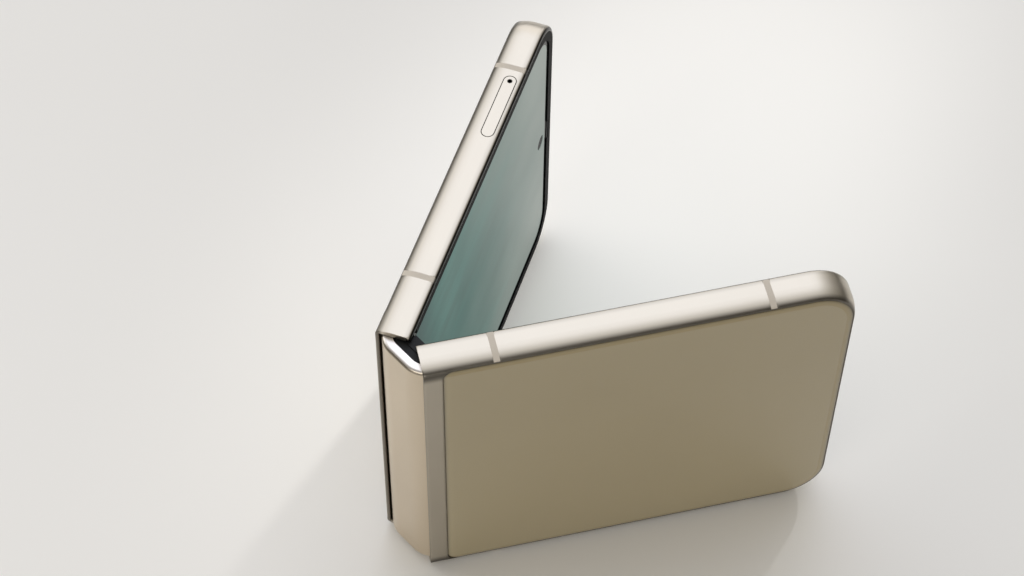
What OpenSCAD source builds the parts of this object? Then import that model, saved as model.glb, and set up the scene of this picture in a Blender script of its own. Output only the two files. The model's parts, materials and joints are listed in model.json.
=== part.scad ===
// Folding clamshell phone, standing on its long side and part-way open.
// Each half is drawn lying flat: x = distance s from the fold line, y = height t above the
// back face, z = place w along the fold line.  at_lower() and at_upper() then swing it about
// its own axis in the hinge.  The hinge is drawn with y = 0 at the level of those two axes.

/* [Body] */
// Length of one half, from the fold line to its far end
half_l = 83; // [76:1:92]
// Width of the phone along the fold line
body_w = 72.2; // [70:0.2:80]
// Thickness of each half, without the cameras
body_t = 6.9; // [6.9:0.1:7.6]
// Radius of the two corners at the far end of each half
far_r = 9; // [8:0.5:11]
// Half of the running gap between the two halves when they lie flat
near_gap = 0.12; // [0.1:0.01:0.2]

/* [Fold] */
// Angle between the two display faces
opening_angle = 58; // [50:1:80]
// Gap between the two front faces when the phone is shut
closed_gap = 3.3; // [3.2:0.1:3.8]

/* [Frame] */
// Thickness of the frame's side walls
wall = 1.8; // [1.6:0.1:2]
// Width of the rim round the back glass and the bezel
rim_w = 0.9; // [0.85:0.05:1.1]
// Radius of the tight curve at the frame's back edge
back_round = 1; // [0.8:0.1:1.2]
// Radius of the soft curve that leads each side into its back edge
crown_r = 7.5; // [6:0.5:8.5]
// Turn of that soft curve, in degrees
crown = 22.5; // [15:1.5:24]
// Rounding of the frame's front edge
front_round = 0.8; // [0.5:0.1:0.85]
// Thickness of the deck that carries the display and the parts behind it
deck_t = 1; // [0.9:0.1:1.2]
// Thickness of the thin edge of the deck that overhangs the hinge
overhang_t = 0.55; // [0.5:0.05:0.6]
// Thickness of the lip that covers the hinge from behind
lip_t = 0.65; // [0.6:0.05:0.75]
// Wall between the hinge bay and the inside of a half, at its thinnest
bay_wall = 1.1; // [0.9:0.1:1.4]
// Thickness of the side cheeks that close the hinge bay
cheek_t = 1.2; // [1.1:0.1:1.4]

/* [Display] */
// Thickness of the display film
film_t = 0.5; // [0.4:0.05:0.55]
// Depth of the film's face below the frame's front face
film_recess = 0.25; // [0.2:0.05:0.3]
// Thickness of the plate that stiffens the film
plate_t = 0.15; // [0.1:0.05:0.2]
// Width of the raised bezel
bezel_w = 2; // [1.7:0.1:2.4]
// Radius of the hole in the film for the front camera
punch_r = 1.7; // [1.5:0.1:2]

/* [Back glass] */
// Thickness of the back glass
glass_t = 0.6; // [0.5:0.05:0.65]
// How far the curved edge of the glass runs in
glass_run = 1.9; // [1.4:0.1:2.2]
// How far the curved edge of the glass drops
glass_drop = 0.35; // [0.2:0.05:0.4]
// Where the glass starts, from the fold line
glass_s = 3.7; // [3.5:0.1:4.5]
// Length of the black cover glass on the upper half
cover_l = 32.6; // [31:0.2:35]

/* [Hinge cover] */
// Wall of the hinge cover
cover_wall = 0.6; // [0.5:0.05:0.65]
// Running gap between the cover and the two lips
spine_play = 0.2; // [0.15:0.05:0.25]
// Gap between the ends of the cover and the cheeks
end_play = 0.15; // [0.1:0.05:0.25]
// Rounding at the ends of the cover
cover_round = 0.8; // [0.5:0.1:1]
// Radius of the open middle of each end of the cover
cap_window_r = 3.6; // [3.2:0.1:3.9]

/* [Guide rails] */
// Inner radius of the curved rails, about the axis of their half
rail_in = 2.9; // [2.8:0.05:3]
// Width of the curved rails across the radius
rail_w = 1; // [0.8:0.05:1]
// Length of each rail along the fold line
rail_l = 3.5; // [3:0.1:3.8]
// Radial running gap of a rail in its groove
rail_play = 0.05; // [0.03:0.01:0.08]
// Walls of a guide block beside its grooves
guide_web = 1; // [0.9:0.1:1.2]
// Web between the two grooves of a guide block
guide_mid = 1.5; // [1.4:0.1:1.7]
// Distance of each guide block from the phone's side
guide_inset = 4; // [3.9:0.1:4.6]
// Thickness of the bracket that joins a rail to its half
bracket_t = 0.5; // [0.4:0.05:0.52]

/* [Gear train] */
// Module of the sync gears
gear_module = 0.3; // [0.29:0.005:0.305]
// Teeth of each arm gear
arm_teeth = 10; // [10:1:10]
// Teeth of each idler gear
idler_teeth = 8; // [8:1:8]
// Face width of the gears
gear_l = 2.4; // [2:0.1:2.6]
// Running gap between the flanks of two teeth
backlash = 0.05; // [0.04:0.01:0.07]
// Radius of the gear pins
pin_r = 0.45; // [0.4:0.01:0.48]
// Running gap between a pin and its gear
pin_play = 0.05; // [0.03:0.01:0.07]
// Thickness of the two levers
lever_t = 0.55; // [0.5:0.05:0.6]
// Length of the two levers, from the middle of the gear
lever_l = 8.5; // [8.2:0.1:9]
// Where the gear carrier starts along the fold line
carrier_w = 32; // [28:0.5:32]

/* [Openings] */
// Width of an antenna band
band_w = 1.2; // [0.8:0.1:1.6]
// Depth of an antenna band into the side
band_depth = 0.75; // [0.5:0.05:0.8]
// Middle of the antenna band near the hinge
band_near = 13.8; // [13:0.1:15]
// Distance of the other antenna band from the far end
band_far = 17; // [15:0.1:18]
// Width of the data socket's shell
usb_w = 8.94; // [8.8:0.02:9.1]
// Height of the data socket's shell
usb_h = 3.16; // [3:0.02:3.2]
// Height of the socket's middle above the back face
usb_t = 3.2; // [3.1:0.05:3.25]
// Radius of the sound holes
sound_r = 0.55; // [0.4:0.05:0.7]

/* [Keys] */
// Width of the two keys
key_w = 2; // [1.8:0.1:2.2]
// Height of the volume rocker above the side
rocker_proud = 0.3; // [0.2:0.05:0.4]
// Travel of the two keys
key_travel = 0.25; // [0.2:0.01:0.28]
// Running gap round a key and round the card tray
side_play = 0.08; // [0.05:0.01:0.12]
// Length of the volume rocker
rocker_l = 19; // [17:0.5:20]
// Middle of the volume rocker, from the fold line
rocker_s = 52.5; // [51:0.5:53]
// Length of the power key
power_l = 14.5; // [13:0.5:16]
// Middle of the power key, from the fold line
power_s = 27.5; // [26:0.5:30]

/* [Card tray] */
// Length of the tray's outer face
tray_l = 15.4; // [15:0.1:16]
// Width of the tray's outer face
tray_h = 2.4; // [2.2:0.1:2.5]
// Middle of the tray, from the fold line
tray_s = 56.1; // [55.5:0.1:56.5]
// Height of the tray's middle above the back face
tray_t = 4.5; // [4.4:0.05:4.6]
// How far the tray's blade reaches in
tray_reach = 14; // [13.5:0.1:15]
// Radius of the hole for the eject pin
eject_r = 0.4; // [0.35:0.05:0.5]

/* [Cameras] */
// Radius of a rear camera's ring
camera_r = 5.8; // [5.6:0.1:6]
// Height of a rear camera's ring above the back face
camera_proud = 0.9; // [0.6:0.1:1]
// Distance of the rear cameras from the phone's side
camera_w = 11.6; // [11.4:0.1:12.4]
// Distance between the rear cameras
camera_pitch = 13; // [12.6:0.1:13.4]

/* [Inside] */
// Gap between a fixed part and its seat
seat = 0.05; // [0.03:0.01:0.08]
// Length of the antenna cover beside the upper battery
antenna_l = 9.4; // [8:0.2:12]
// Thickness of the circuit boards
board_t = 0.7; // [0.6:0.05:0.8]
// Shank radius of the small screws
screw_r = 0.3; // [0.25:0.05:0.35]
// Head radius of the small screws
screw_head_r = 0.55; // [0.5:0.05:0.6]
// Head height of the small screws
screw_head_t = 0.25; // [0.2:0.05:0.3]

/* [Hidden] */
$fn = 48;
over = 1;                                     // how far a cutter passes a face
edge_steps = 8;                               // facets in the curve of a glass edge or cover end
fold = 90 - opening_angle/2;                  // turn of each half away from lying flat
hole_play = 0.02;                             // radial gap of a screw or its head in a hole

function to_micron(length) = round(1000*length)/1000;

// Levels in a half, above its back face
film_top = body_t - film_recess;
film_low = film_top - film_t;
axis_t = body_t - film_recess - film_t/2;     // the film's middle layer runs through both axes
deck_top = film_low - plate_t - seat;
deck_low = deck_top - deck_t;
overhang_low = deck_top - overhang_t;
glass_seat = glass_t + seat;
inner_low = glass_t + 2*seat;                 // the backmost level inside
crown_run = crown_r*sin(crown) + back_round*(1 - sin(crown));   // from the back, up the side
crown_in = crown_r*(1 - cos(crown)) + back_round*cos(crown);    // from the side, in over the back
crown_bite = 0.002;                           // the tight curve crosses the soft one by this

// Both axes, the hinge bay and the cover
axis_x = closed_gap/2 + body_t - axis_t;
bay_r = axis_t - lip_t;
spine_r = bay_r - spine_play;
spine_in_r = spine_r - cover_wall;
core_r = spine_in_r - seat;                   // outline of what is fixed inside the cover
inner_s = axis_x + bay_r + bay_wall;          // where the inside of a half starts
cover_top = overhang_low - axis_t - spine_play;
spine_w0 = cheek_t + end_play;
spine_w1 = body_w - spine_w0;

// The bend of the film: an arc that keeps the film's length at every opening
fold_rad = fold*PI/180;
bend_s = to_micron(axis_x*(1 - cos(fold))/(sin(fold)/fold_rad - cos(fold)));
bend_r = bend_s/fold_rad;
bend_y = (bend_s - axis_x)*sin(fold) + bend_r*cos(fold);
film_margin = 0.75;                           // from the rim to the film's edge
film_w0 = rim_w + film_margin;
sag_play = 0.19;
core_top = bend_s - 2*axis_x - film_t/2 - sag_play;   // under the film's deepest sag, when shut
overhang_s = bend_s + 0.1;                    // the deck and bezel start clear of the bend
plate_s = bend_s + 0.9;

// Guide blocks
rail_out = rail_in + rail_w;
groove_l = rail_l + 2*rail_play;
guide_l = 2*guide_web + 2*groove_l + guide_mid;
guide_starts = [guide_inset, body_w - guide_inset - guide_l];
lower_groove = guide_web;
upper_groove = guide_web + groove_l + guide_mid;
rail_back = 150;                              // how far each rail reaches round, in degrees
bracket_top = deck_top - seat/2;
bracket_low = bracket_top - bracket_t;
rail_end = asin((axis_t - bracket_top)/rail_in) + 4;   // the rail ends inside the neck
neck_play = 0.15;
pad_play = 0.1;
pad_s0 = inner_s + neck_play;
pad_l = 5.2;
pad_round = 0.6;
pad_side = 2.5;                               // how far a bracket's pad reaches past its rail

// Gear train: two idlers side by side, and an arm gear below each axis
arm_pitch_r = gear_module*arm_teeth/2;
idler_pitch_r = gear_module*idler_teeth/2;
addendum = 0.8*gear_module;
dedendum = 1.1*gear_module;
pressure_angle = 25;
mesh_d = arm_pitch_r + idler_pitch_r;
gear_play = 0.06;                             // below the top of the blocks
orbit_play = 0.15;                            // inside the cover's wall
idler_y = core_top - idler_pitch_r - addendum - gear_play;
arm_orbit = core_r - arm_pitch_r - addendum - orbit_play;
mesh_gap = norm([axis_x - idler_pitch_r, idler_y]);
mesh_dir = [axis_x - idler_pitch_r, -idler_y]/mesh_gap;
mesh_run = (pow(mesh_d, 2) - pow(arm_orbit, 2) + pow(mesh_gap, 2))/(2*mesh_gap);
mesh_side = sqrt(pow(mesh_d, 2) - pow(mesh_run, 2));
arm_x = to_micron(idler_pitch_r + mesh_run*mesh_dir[0] + mesh_side*mesh_dir[1]);
arm_y = to_micron(idler_y + mesh_run*mesh_dir[1] - mesh_side*mesh_dir[0]);
mesh_angle = atan2(arm_y - idler_y, arm_x - idler_pitch_r);
upper_idler_phase = 180/idler_teeth;
lower_arm_phase = 180 + mesh_angle*(1 + idler_teeth/arm_teeth) + 180/arm_teeth;
upper_mesh = 180 - mesh_angle;
upper_arm_phase = upper_mesh + 180 + (upper_mesh - 180 - upper_idler_phase)*idler_teeth/arm_teeth
                  + 180/arm_teeth;
hub_r = arm_pitch_r - dedendum - hole_play;
gear_axes = [[idler_pitch_r, idler_y], [-idler_pitch_r, idler_y], [arm_x, arm_y], [-arm_x, arm_y]];
carrier_wall = 1.2;
carrier_floor = 0.35;
pin_fit = 0.01;                               // radial gap of a pin in the carrier's walls
shoulder_r = pin_r*1.8;
layer_gap = 0.2;                              // between gears, levers and discs on one pin
gear_w = carrier_w + carrier_wall + layer_gap;
lever_w = gear_w + gear_l + layer_gap;
stack_w = lever_w + gear_l + layer_gap;
disc_t = 0.2;
disc_rise = 0.2;                              // height of a spring disc's cone
disc_play = 0.06;
disc_pitch = disc_t + 2*disc_rise;
disc_count = 6;
stack_play = 0.1;
carrier_l = stack_w + disc_count*disc_pitch + stack_play + carrier_wall - carrier_w;
lever_play = 0.06;
lever_hi = arm_x - axis_x + deck_top - axis_t - lever_play;
lever_lo = lever_hi - lever_t;
slot_play = 0.15;                             // behind a lever in its slot
slot_end_play = 0.45;
slot_side_play = 0.3;                         // beside a lever or the flex cable
arm_slot_low = axis_t - arm_orbit + lever_lo - slot_play;
arm_slot_end = arm_x + lever_l + slot_end_play;
arm_slot_w = [gear_w - slot_side_play, lever_w + gear_l + slot_side_play];

// Flex cable across the hinge
flex_t = 0.12;
flex_l = 8;                                   // width of the cable
flex_gap = 2.3;                               // between the cable and the gear carrier
flex_w0 = carrier_w - flex_gap - flex_l;
flex_play = 0.2;                              // on each face of the cable
flex_join = 0.02;                             // the tails run this far into the arc
flex_mid = deck_low - seat - flex_play;
flex_s = 4;
flex_end = inner_s + 3;
flex_x = axis_x + (flex_s - axis_x)*cos(fold) - (flex_mid - axis_t)*sin(fold);
flex_y = (flex_s - axis_x)*sin(fold) + (flex_mid - axis_t)*cos(fold);
flex_r = flex_x/sin(fold);

// Levels and places shared by the parts inside the halves
glass_near_r = glass_run + 0.2;               // corners of the glass beside the hinge
part_gap = 0.5;                               // between neighbouring parts
part_play = 0.2;
end_s = half_l - wall;                        // inner face of the far wall
mid_w = body_w/2;
cell_top = deck_low - seat;                   // the frontmost level inside
coil_t = 0.15;
shield_t = 0.1;
shield_low = inner_low + coil_t + seat;
cell_low = shield_low + shield_t + seat;
cell_gap = 0.8;                               // between the levers' slots and a battery
cell_s = arm_slot_end + cell_gap;
cell_round = 2;
cell_edge = 0.6;
tail_gap = 1.5;                               // between a battery and the boards
antenna_t = 0.3;
pocket_r = far_r - wall;                      // far corners of the inner space

// Lower half: battery and coil
tail_l = 17.5;                                // room for the parts beyond the battery
tail_s = half_l - tail_l;
lower_cell_end = tail_s - tail_gap;
lower_cell_inset = 7.5;                       // from a side wall
coil_s = (cell_s + lower_cell_end)/2;
coil_r = 20;
coil_turns = 9;
coil_pitch = 1.2;
coil_wire = 0.85;
coil_ridge = 0.08;
shield_margin = 1.5;
shield_round = 3;

// Lower half: vibration motor, socket, loudspeaker, microphone and their board
haptic_l = 10;
haptic_w = 11.5;
haptic_rise = 0.9;
haptic_round = 1.2;
haptic_edge = 0.3;
haptic_w1 = wall + part_gap + haptic_w;
speaker_from = 9.5;                           // from the middle of the phone
speaker_w0 = mid_w + speaker_from;
speaker_rise = 0.5;
sound_l = 2*sound_r + 0.6;
sound_pitch = 2;
sound_count = 6;
speaker_holes = [for (k = [0:sound_count - 1]) speaker_w0 + sound_pitch*(k + 1)];
duct_l = 3;
microphone_from = 10.5;
microphone_w = mid_w - microphone_from;
microphone_l = 3.4;
microphone_r = 1.4;
top_microphone_from = 8;
top_microphone_w = mid_w + top_microphone_from;
port_l = 7.2;
port_inset = 0.5;                             // from the far end
port_wall = 0.3;
port_play = 0.06;
port_s = half_l - port_inset - port_l;
tongue_w = 6.6;
tongue_t = 0.7;
tongue_inset = 0.9;
sub_board_gap = 2.3;
sub_board_w = [haptic_w1 + sub_board_gap, speaker_w0 - tail_gap];
board_hole_r = 0.8;
board_hole_s = tail_s + 3*board_hole_r;
board_hole_inset = 3;
board_holes = [sub_board_w[0] + board_hole_inset, sub_board_w[1] - board_hole_inset];

// Upper half: battery, boards and cover display
cover_s = half_l - rim_w - cover_l;           // where the cover glass starts
upper_cell_inset = 5.2;
antenna_end = cover_s - 1;
board_s = antenna_end - antenna_l;
upper_cell_end = board_s - tail_gap;
can_h = 1.6;
can_t = 0.2;
can_round = 0.6;
can_gap = 3;                                  // between the two shield cans
can_reach = 6;                                // how far they run behind the cover glass
can_side = [4.4, 3.4];                        // from the long edges of the main board
can_split = mid_w + 4.5;
board_low = inner_low + 2*antenna_t + can_h;
board_top = board_low + board_t;
board_margin = 0.6;                           // from the walls
board_round = 1;
board_w1 = body_w - wall - board_margin;
cover_display_t = 0.5;
cover_display_round = 1.5;
display_near = 7.5;                           // from the hinge side of the cover glass
display_far = 4.5;                            // from the far end of the phone
display_side = 6.6;                           // from the side of the phone

// Upper half: cameras and flash
camera_inset = 8.2;                           // from the far end
camera_far = half_l - camera_inset;
camera_places = [camera_far - camera_pitch, camera_far];
camera_body_r = 4.6;
ring_w = 1;                                   // beside the lens
ring_ledge = 0.3;                             // behind the lens
ring_bevel = 0.4;
lens_sink = 0.15;
lens_t = 0.5;
lens_low = lens_sink + lens_t + seat - camera_proud;
flash_r = 1.4;
flash_s = camera_far - camera_pitch/2;
flash_from = 8.6;                             // from the line of the cameras
flash_w = camera_w + flash_from;
front_camera_inset = 3.5;                     // from the bezel
front_camera_s = half_l - rim_w - bezel_w - front_camera_inset;
front_camera_h = 1.15;
front_camera_r = punch_r + 1.1;

// Upper half: earpiece, keys and card tray
bezel_in_s = half_l - rim_w - bezel_w;
bezel_lift = 0.03;                            // of the bezel's lip over the film
earpiece_l = 6;
earpiece_depth = 0.7;
earpiece_body = [1.2, 12];
flange_t = 0.35;                              // flange behind each key
flange_side = 0.4;                            // how far it reaches past the key
flange_w = wall + seat;
switch_play = 0.05;
switch_w = flange_w + flange_t + key_travel + switch_play;
switch_room = 1.6;                            // for the switches and their strip
dome_h = 0.3;
dome_r = [0.7, 1.2];
strip_t = 0.35;
strip_h = 2.6;
switch_places = [power_s, rocker_s - rocker_l*0.3, rocker_s + rocker_l*0.3];
board_w0 = switch_w + switch_room;
flap_w = body_w - wall;                       // inner side of the tray's face
reader_wall = 0.5;
reader_play = 0.1;
reader_gap = 0.3;                             // between the cage and the side wall
blade_t = 0.7;
blade_low = tray_t - blade_t/2 - reader_play;
blade_l = tray_l - 2*tray_h;                  // clear of the hole for the eject pin
card_s = 8.8;
card_l = 12.3;
card_t = 0.5;
card_rim = 0.7;                               // of the blade, past the card
card_w0 = flap_w - tray_reach + card_rim;
eject_s = tray_s + (tray_l - tray_h)/2;       // middle of the face's round end

// End caps and screws of the spine
cap_t = 0.8;
guard_w = 2.8;
guard_t = film_w0 - seat - spine_w0;
guard_foot = 0.6;
hinge_screw_places = [guide_starts[0] + guide_l/2, guide_starts[1] + guide_l/2,
                      carrier_w + carrier_wall/2, carrier_w + carrier_l - carrier_wall/2];

// Lift that puts the volume rocker on the surface, and shift that centres the part
lift = rocker_proud;
depth = (half_l - front_round - axis_x)*sin(fold)
        + (body_t - front_round - axis_t)*cos(fold) + front_round;
mid_y = (depth - spine_r)/2;

champagne = [0.80, 0.75, 0.66];
cream = [0.60, 0.56, 0.45];
steel = [0.62, 0.62, 0.60];
dark = [0.08, 0.08, 0.08];
copper = [0.72, 0.42, 0.24];
board_green = [0.08, 0.25, 0.17];
graphite = [0.15, 0.15, 0.16];

// ---------- placing ----------

// render() joins and cuts each piece lying flat, where its numbers are round, before it turns
module at_spine() translate([0, -mid_y, lift]) render() children();

module swing() translate([axis_x, 0, 0]) rotate([0, 0, fold]) translate([-axis_x, -axis_t, 0])
    render() children();

module at_lower() translate([0, -mid_y, lift]) swing() children();

module at_upper() translate([0, -mid_y, lift]) mirror([1, 0, 0]) swing() children();

// ---------- shared shapes ----------

function reversed(list) = [for (i = [len(list) - 1:-1:0]) list[i]];

// Edges are drawn as [height, distance in from the side], and slab() sweeps them round
module cut_corner(r) difference() {
    translate([-over, -over]) square(r + over);
    translate([r, r]) circle(r);
}

// Edge with a rounding of its own at the back and at the front
module round_edge(t0, t1, back_r, front_r) difference() {
    translate([t0, 0]) square([t1 - t0, body_w]);
    if (back_r > 0) translate([t0, 0]) cut_corner(back_r);
    if (front_r > 0) translate([t1, 0]) mirror([1, 0]) cut_corner(front_r);
}

// Edge of a frame: a soft curve leads the side into a tight one at the back
module frame_edge() difference() {
    square([body_t, body_w]);
    difference() {
        translate([-over, -over]) square([crown_run + over, crown_in + over]);
        intersection() {
            translate([crown_run, crown_r]) circle(crown_r);
            translate([back_round*(1 - sin(crown)), 0]) square(2*crown_r);
        }
        translate([back_round - crown_bite*sin(crown), crown_in - crown_bite*cos(crown)])
            circle(back_round);
    }
    translate([body_t, 0]) mirror([1, 0]) cut_corner(front_round);
}

// Edge of a back glass, curved down over a run
module glass_edge() polygon(concat([[glass_t, body_w], [0, body_w]],
    [for (i = [0:edge_steps]) let (q = 90*i/edge_steps)
        [glass_drop*(1 - cos(q)), glass_run*(1 - sin(q))]],
    [[glass_t, 0]]));

// Outline seen from the front, with its own radius at the near and far corners
module outline(s0, s1, w0, w1, near_r, far_r) {
    translate([s0 + near_r, w0]) square([s1 - s0 - near_r - far_r, w1 - w0]);
    if (near_r > 0) {
        translate([s0, w0 + near_r]) square([2*near_r, w1 - w0 - 2*near_r]);
        for (w = [w0 + near_r, w1 - near_r]) translate([s0 + near_r, w]) circle(near_r);
    }
    if (far_r > 0) {
        translate([s1 - 2*far_r, w0 + far_r]) square([2*far_r, w1 - w0 - 2*far_r]);
        for (w = [w0 + far_r, w1 - far_r]) translate([s1 - far_r, w]) circle(far_r);
    }
}

// Flat plate with square edges
module plain_slab(s0, s1, w0, w1, t0, t1, near_r = 0, far_r = 0)
    translate([0, t1, 0]) rotate([90, 0, 0]) linear_extrude(t1 - t0)
        outline(s0, s1, w0, w1, near_r, far_r);

// Slab with rounded corners, whose edge is the shape given
module slab(s0, s1, w0, w1, near_r = 0, far_r = 0) {
    translate([s0 + near_r, 0, 0]) rotate([90, 0, 90]) linear_extrude(s1 - s0 - near_r - far_r)
        intersection() {
            translate([0, w0]) children();
            translate([0, w1]) mirror([0, 1]) children();
        }
    if (far_r > 0) slab_end(s1, w0, w1, far_r) children();
    if (near_r > 0) mirror([1, 0, 0]) slab_end(-s0, w0, w1, near_r) children();
}

// Far end of a slab, with its two corners
module slab_end(s1, w0, w1, r) {
    translate([0, 0, w0 + r]) linear_extrude(w1 - w0 - 2*r) intersection() {
        translate([s1, 0]) rotate([0, 0, 90]) children();
        translate([s1 - r, -body_t]) square([r, 3*body_t]);
    }
    for (c = [[w0 + r, 0], [w1 - r, 270]]) translate([s1 - r, 0, c[0]]) rotate([-90, 0, 0])
        rotate([0, 0, c[1]]) rotate_extrude(angle = 90) intersection() {
            translate([r, 0]) rotate([0, 0, 90]) children();
            translate([0, -body_t]) square([r, 3*body_t]);
        }
}

// Plate that follows the outline of a half at a given inset from its sides
module inset_plate(inset, s0, t0, t1, near_r = 0)
    plain_slab(s0, half_l - inset, inset, body_w - inset, t0, t1, near_r, far_r - inset);

module block(s, t, w)
    translate([s[0], t[0], w[0]]) cube([s[1] - s[0], t[1] - t[0], w[1] - w[0]]);

// Round post along the thickness
module post(s, w, t0, t1, r)
    translate([s, t0, w]) rotate([-90, 0, 0]) cylinder(h = t1 - t0, r = r);

// Outline with two round ends, long along x
module stadium(l, h) {
    square([l - h, h], center = true);
    for (side = [-1, 1]) translate([side*(l - h)/2, 0]) circle(d = h);
}

// Stadium through a side wall, with its length along s and its depth along w
module side_stadium(s, t, w0, w1, l, h)
    translate([s, t, w0]) linear_extrude(w1 - w0) stadium(l, h);

// Stadium through the far wall, with its length along w and its depth along s
module end_stadium(s0, s1, t, w, l, h)
    translate([s0, t, w]) rotate([90, 0, 90]) linear_extrude(s1 - s0) rotate([0, 0, 90])
        stadium(l, h);

// ---------- hinge spine ----------

// Section of the hinge up to a given radius: an arc about each axis, joined by a flat
module spine_section(r, top) difference() {
    union() {
        for (side = [-1, 1]) translate([side*axis_x, 0]) circle(r);
        translate([-axis_x, -r]) square([2*axis_x, r]);
    }
    translate([-axis_x - r - over, top]) square([2*(axis_x + r + over), r - top + over]);
}

// Wall of the cover as [radius, place along the fold line]: rounded ends, open in the middle
function cover_edge() = concat(
    [[cap_window_r, spine_w0], [spine_r - cover_round, spine_w0]],
    [for (i = [1:edge_steps]) let (q = 90*i/edge_steps)
        [spine_r - cover_round*(1 - sin(q)), spine_w0 + cover_round*(1 - cos(q))]],
    [for (i = [0:edge_steps]) let (q = 90*i/edge_steps)
        [spine_r - cover_round*(1 - cos(q)), spine_w1 - cover_round*(1 - sin(q))]],
    [[cap_window_r, spine_w1], [cap_window_r, spine_w1 - cover_wall],
     [spine_in_r, spine_w1 - cover_wall], [spine_in_r, spine_w0 + cover_wall],
     [cap_window_r, spine_w0 + cover_wall]]);

module hinge_cover() color(champagne) at_spine() difference() {
    union() {
        for (side = [0, 1]) mirror([side, 0, 0]) translate([axis_x, 0, 0])
            rotate([0, 0, -90]) rotate_extrude(angle = 90) polygon(cover_edge());
        translate([-axis_x, 0, 0]) rotate([90, 0, 90]) linear_extrude(2*axis_x)
            polygon([for (p = cover_edge()) [-p[0], p[1]]]);
    }
    translate([-2*spine_r, cover_top, 0]) cube([4*spine_r, spine_r, body_w]);
    // notches that let the levers and the flex cable pass over the edge
    translate([-2*spine_r, arm_y + lever_lo - slot_play, lever_w - slot_side_play])
        cube([4*spine_r, spine_r, gear_l + 2*slot_side_play]);
    translate([-2*spine_r, flex_mid - axis_t - flex_play, flex_w0 - slot_side_play])
        cube([4*spine_r, spine_r, flex_l + 2*slot_side_play]);
    for (p = hinge_screw_places) translate([0, -spine_in_r + over, p]) rotate([90, 0, 0])
        cylinder(h = over + cover_wall*0.6, r = screw_r + hole_play);
}

// End caps: a plate behind each end of the cover, and a guard beside the film's edge
module hinge_end_caps() color(dark) at_spine() for (w0 = [spine_w0, spine_w1])
    translate([0, 0, w0]) mirror([0, 0, w0 > mid_w ? 1 : 0]) {
        translate([0, 0, guard_t]) linear_extrude(cover_wall)
            spine_section(cap_window_r - seat, core_top);
        translate([0, 0, cover_wall + seat]) linear_extrude(cap_t)
            spine_section(core_r, core_top);
        translate([-guard_w/2, core_top - guard_foot, 0])
            cube([guard_w, film_t/2 + 2*seat - core_top + guard_foot, guard_t]);
        translate([-guard_w/2, core_top - guard_foot, 0])
            cube([guard_w, guard_foot - seat, 2*guard_t]);
    }

module hinge_screw_holes() for (p = hinge_screw_places) translate([0, core_top, p])
    rotate([90, 0, 0]) {
        translate([0, 0, -over])
            cylinder(h = core_r + core_top + 2*over, r = screw_r + hole_play);
        translate([0, 0, -over])
            cylinder(h = over + screw_head_t + hole_play, r = screw_head_r + hole_play);
    }

module hinge_screws() color(steel) at_spine() for (p = hinge_screw_places)
    translate([0, core_top, p]) rotate([90, 0, 0]) {
        cylinder(h = screw_head_t, r = screw_head_r);
        cylinder(h = core_r + core_top + seat + cover_wall*0.5, r = screw_r);
    }

module groove(side, w0) translate([side*axis_x, 0, w0 - rail_play]) difference() {
    cylinder(h = rail_l + 2*rail_play, r = rail_out + rail_play);
    translate([0, 0, -over])
        cylinder(h = rail_l + 2*rail_play + 2*over, r = rail_in - rail_play);
}

module hinge_guide_blocks() color(steel) at_spine() difference() {
    for (w = guide_starts) translate([0, 0, w]) linear_extrude(guide_l)
        spine_section(core_r, core_top);
    for (w = guide_starts) {
        groove(1, w + lower_groove + rail_play);
        groove(-1, w + upper_groove + rail_play);
    }
    hinge_screw_holes();
}

// ---------- gear train ----------

function inv(base, r) = r <= base ? 0 :
    let (t = sqrt(pow(r/base, 2) - 1)) t*180/PI - atan(t);

// Half the angle that a tooth fills at a radius
function tooth_half(teeth, r) =
    let (pitch_r = gear_module*teeth/2, base = pitch_r*cos(pressure_angle))
    90/teeth - backlash/(4*pitch_r)*180/PI + inv(base, pitch_r) - inv(base, r);

function tooth_radii(teeth) =
    let (pitch_r = gear_module*teeth/2, base = pitch_r*cos(pressure_angle), steps = 4)
    concat([pitch_r - dedendum],
           [for (i = [0:steps]) base + (pitch_r + addendum - base)*i/steps]);

module gear_outline(teeth, phase) polygon([for (k = [0:teeth - 1], side = [-1, 1])
    let (radii = tooth_radii(teeth), ordered = side < 0 ? radii : reversed(radii))
    for (r = ordered) let (q = phase + 360*k/teeth + side*tooth_half(teeth, r)) [r*cos(q), r*sin(q)]]);

module idler(side, phase) color(steel) at_spine() translate([side*idler_pitch_r, idler_y, gear_w])
    difference() {
        linear_extrude(gear_l) gear_outline(idler_teeth, phase);
        translate([0, 0, -over]) cylinder(h = gear_l + 2*over, r = pin_r + pin_play);
    }

module lower_idler_gear() idler(1, 0);

module upper_idler_gear() idler(-1, upper_idler_phase);

// Arm: a gear, a hub and a lever that slides in the slot of its half
module sync_arm(side, phase) color(steel) at_spine() translate([side*arm_x, arm_y, 0])
    difference() {
        union() {
            translate([0, 0, gear_w]) linear_extrude(gear_l) gear_outline(arm_teeth, phase);
            translate([0, 0, gear_w]) cylinder(h = lever_w - gear_w + gear_l, r = hub_r);
            mirror([side < 0 ? 1 : 0, 0, 0]) rotate([0, 0, fold]) translate([0, 0, lever_w])
                linear_extrude(gear_l) {
                    polygon([[0, -hub_r/4], [hub_r*1.7, lever_lo], [lever_l - lever_t/2, lever_lo],
                             [lever_l - lever_t/2, lever_hi], [0, lever_hi]]);
                    translate([lever_l - lever_t/2, (lever_lo + lever_hi)/2]) circle(d = lever_t);
                }
        }
        translate([0, 0, gear_w - over])
            cylinder(h = lever_w - gear_w + gear_l + 2*over, r = pin_r + pin_play);
    }

module lower_sync_arm() sync_arm(1, lower_arm_phase);

module upper_sync_arm() sync_arm(-1, upper_arm_phase);

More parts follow.
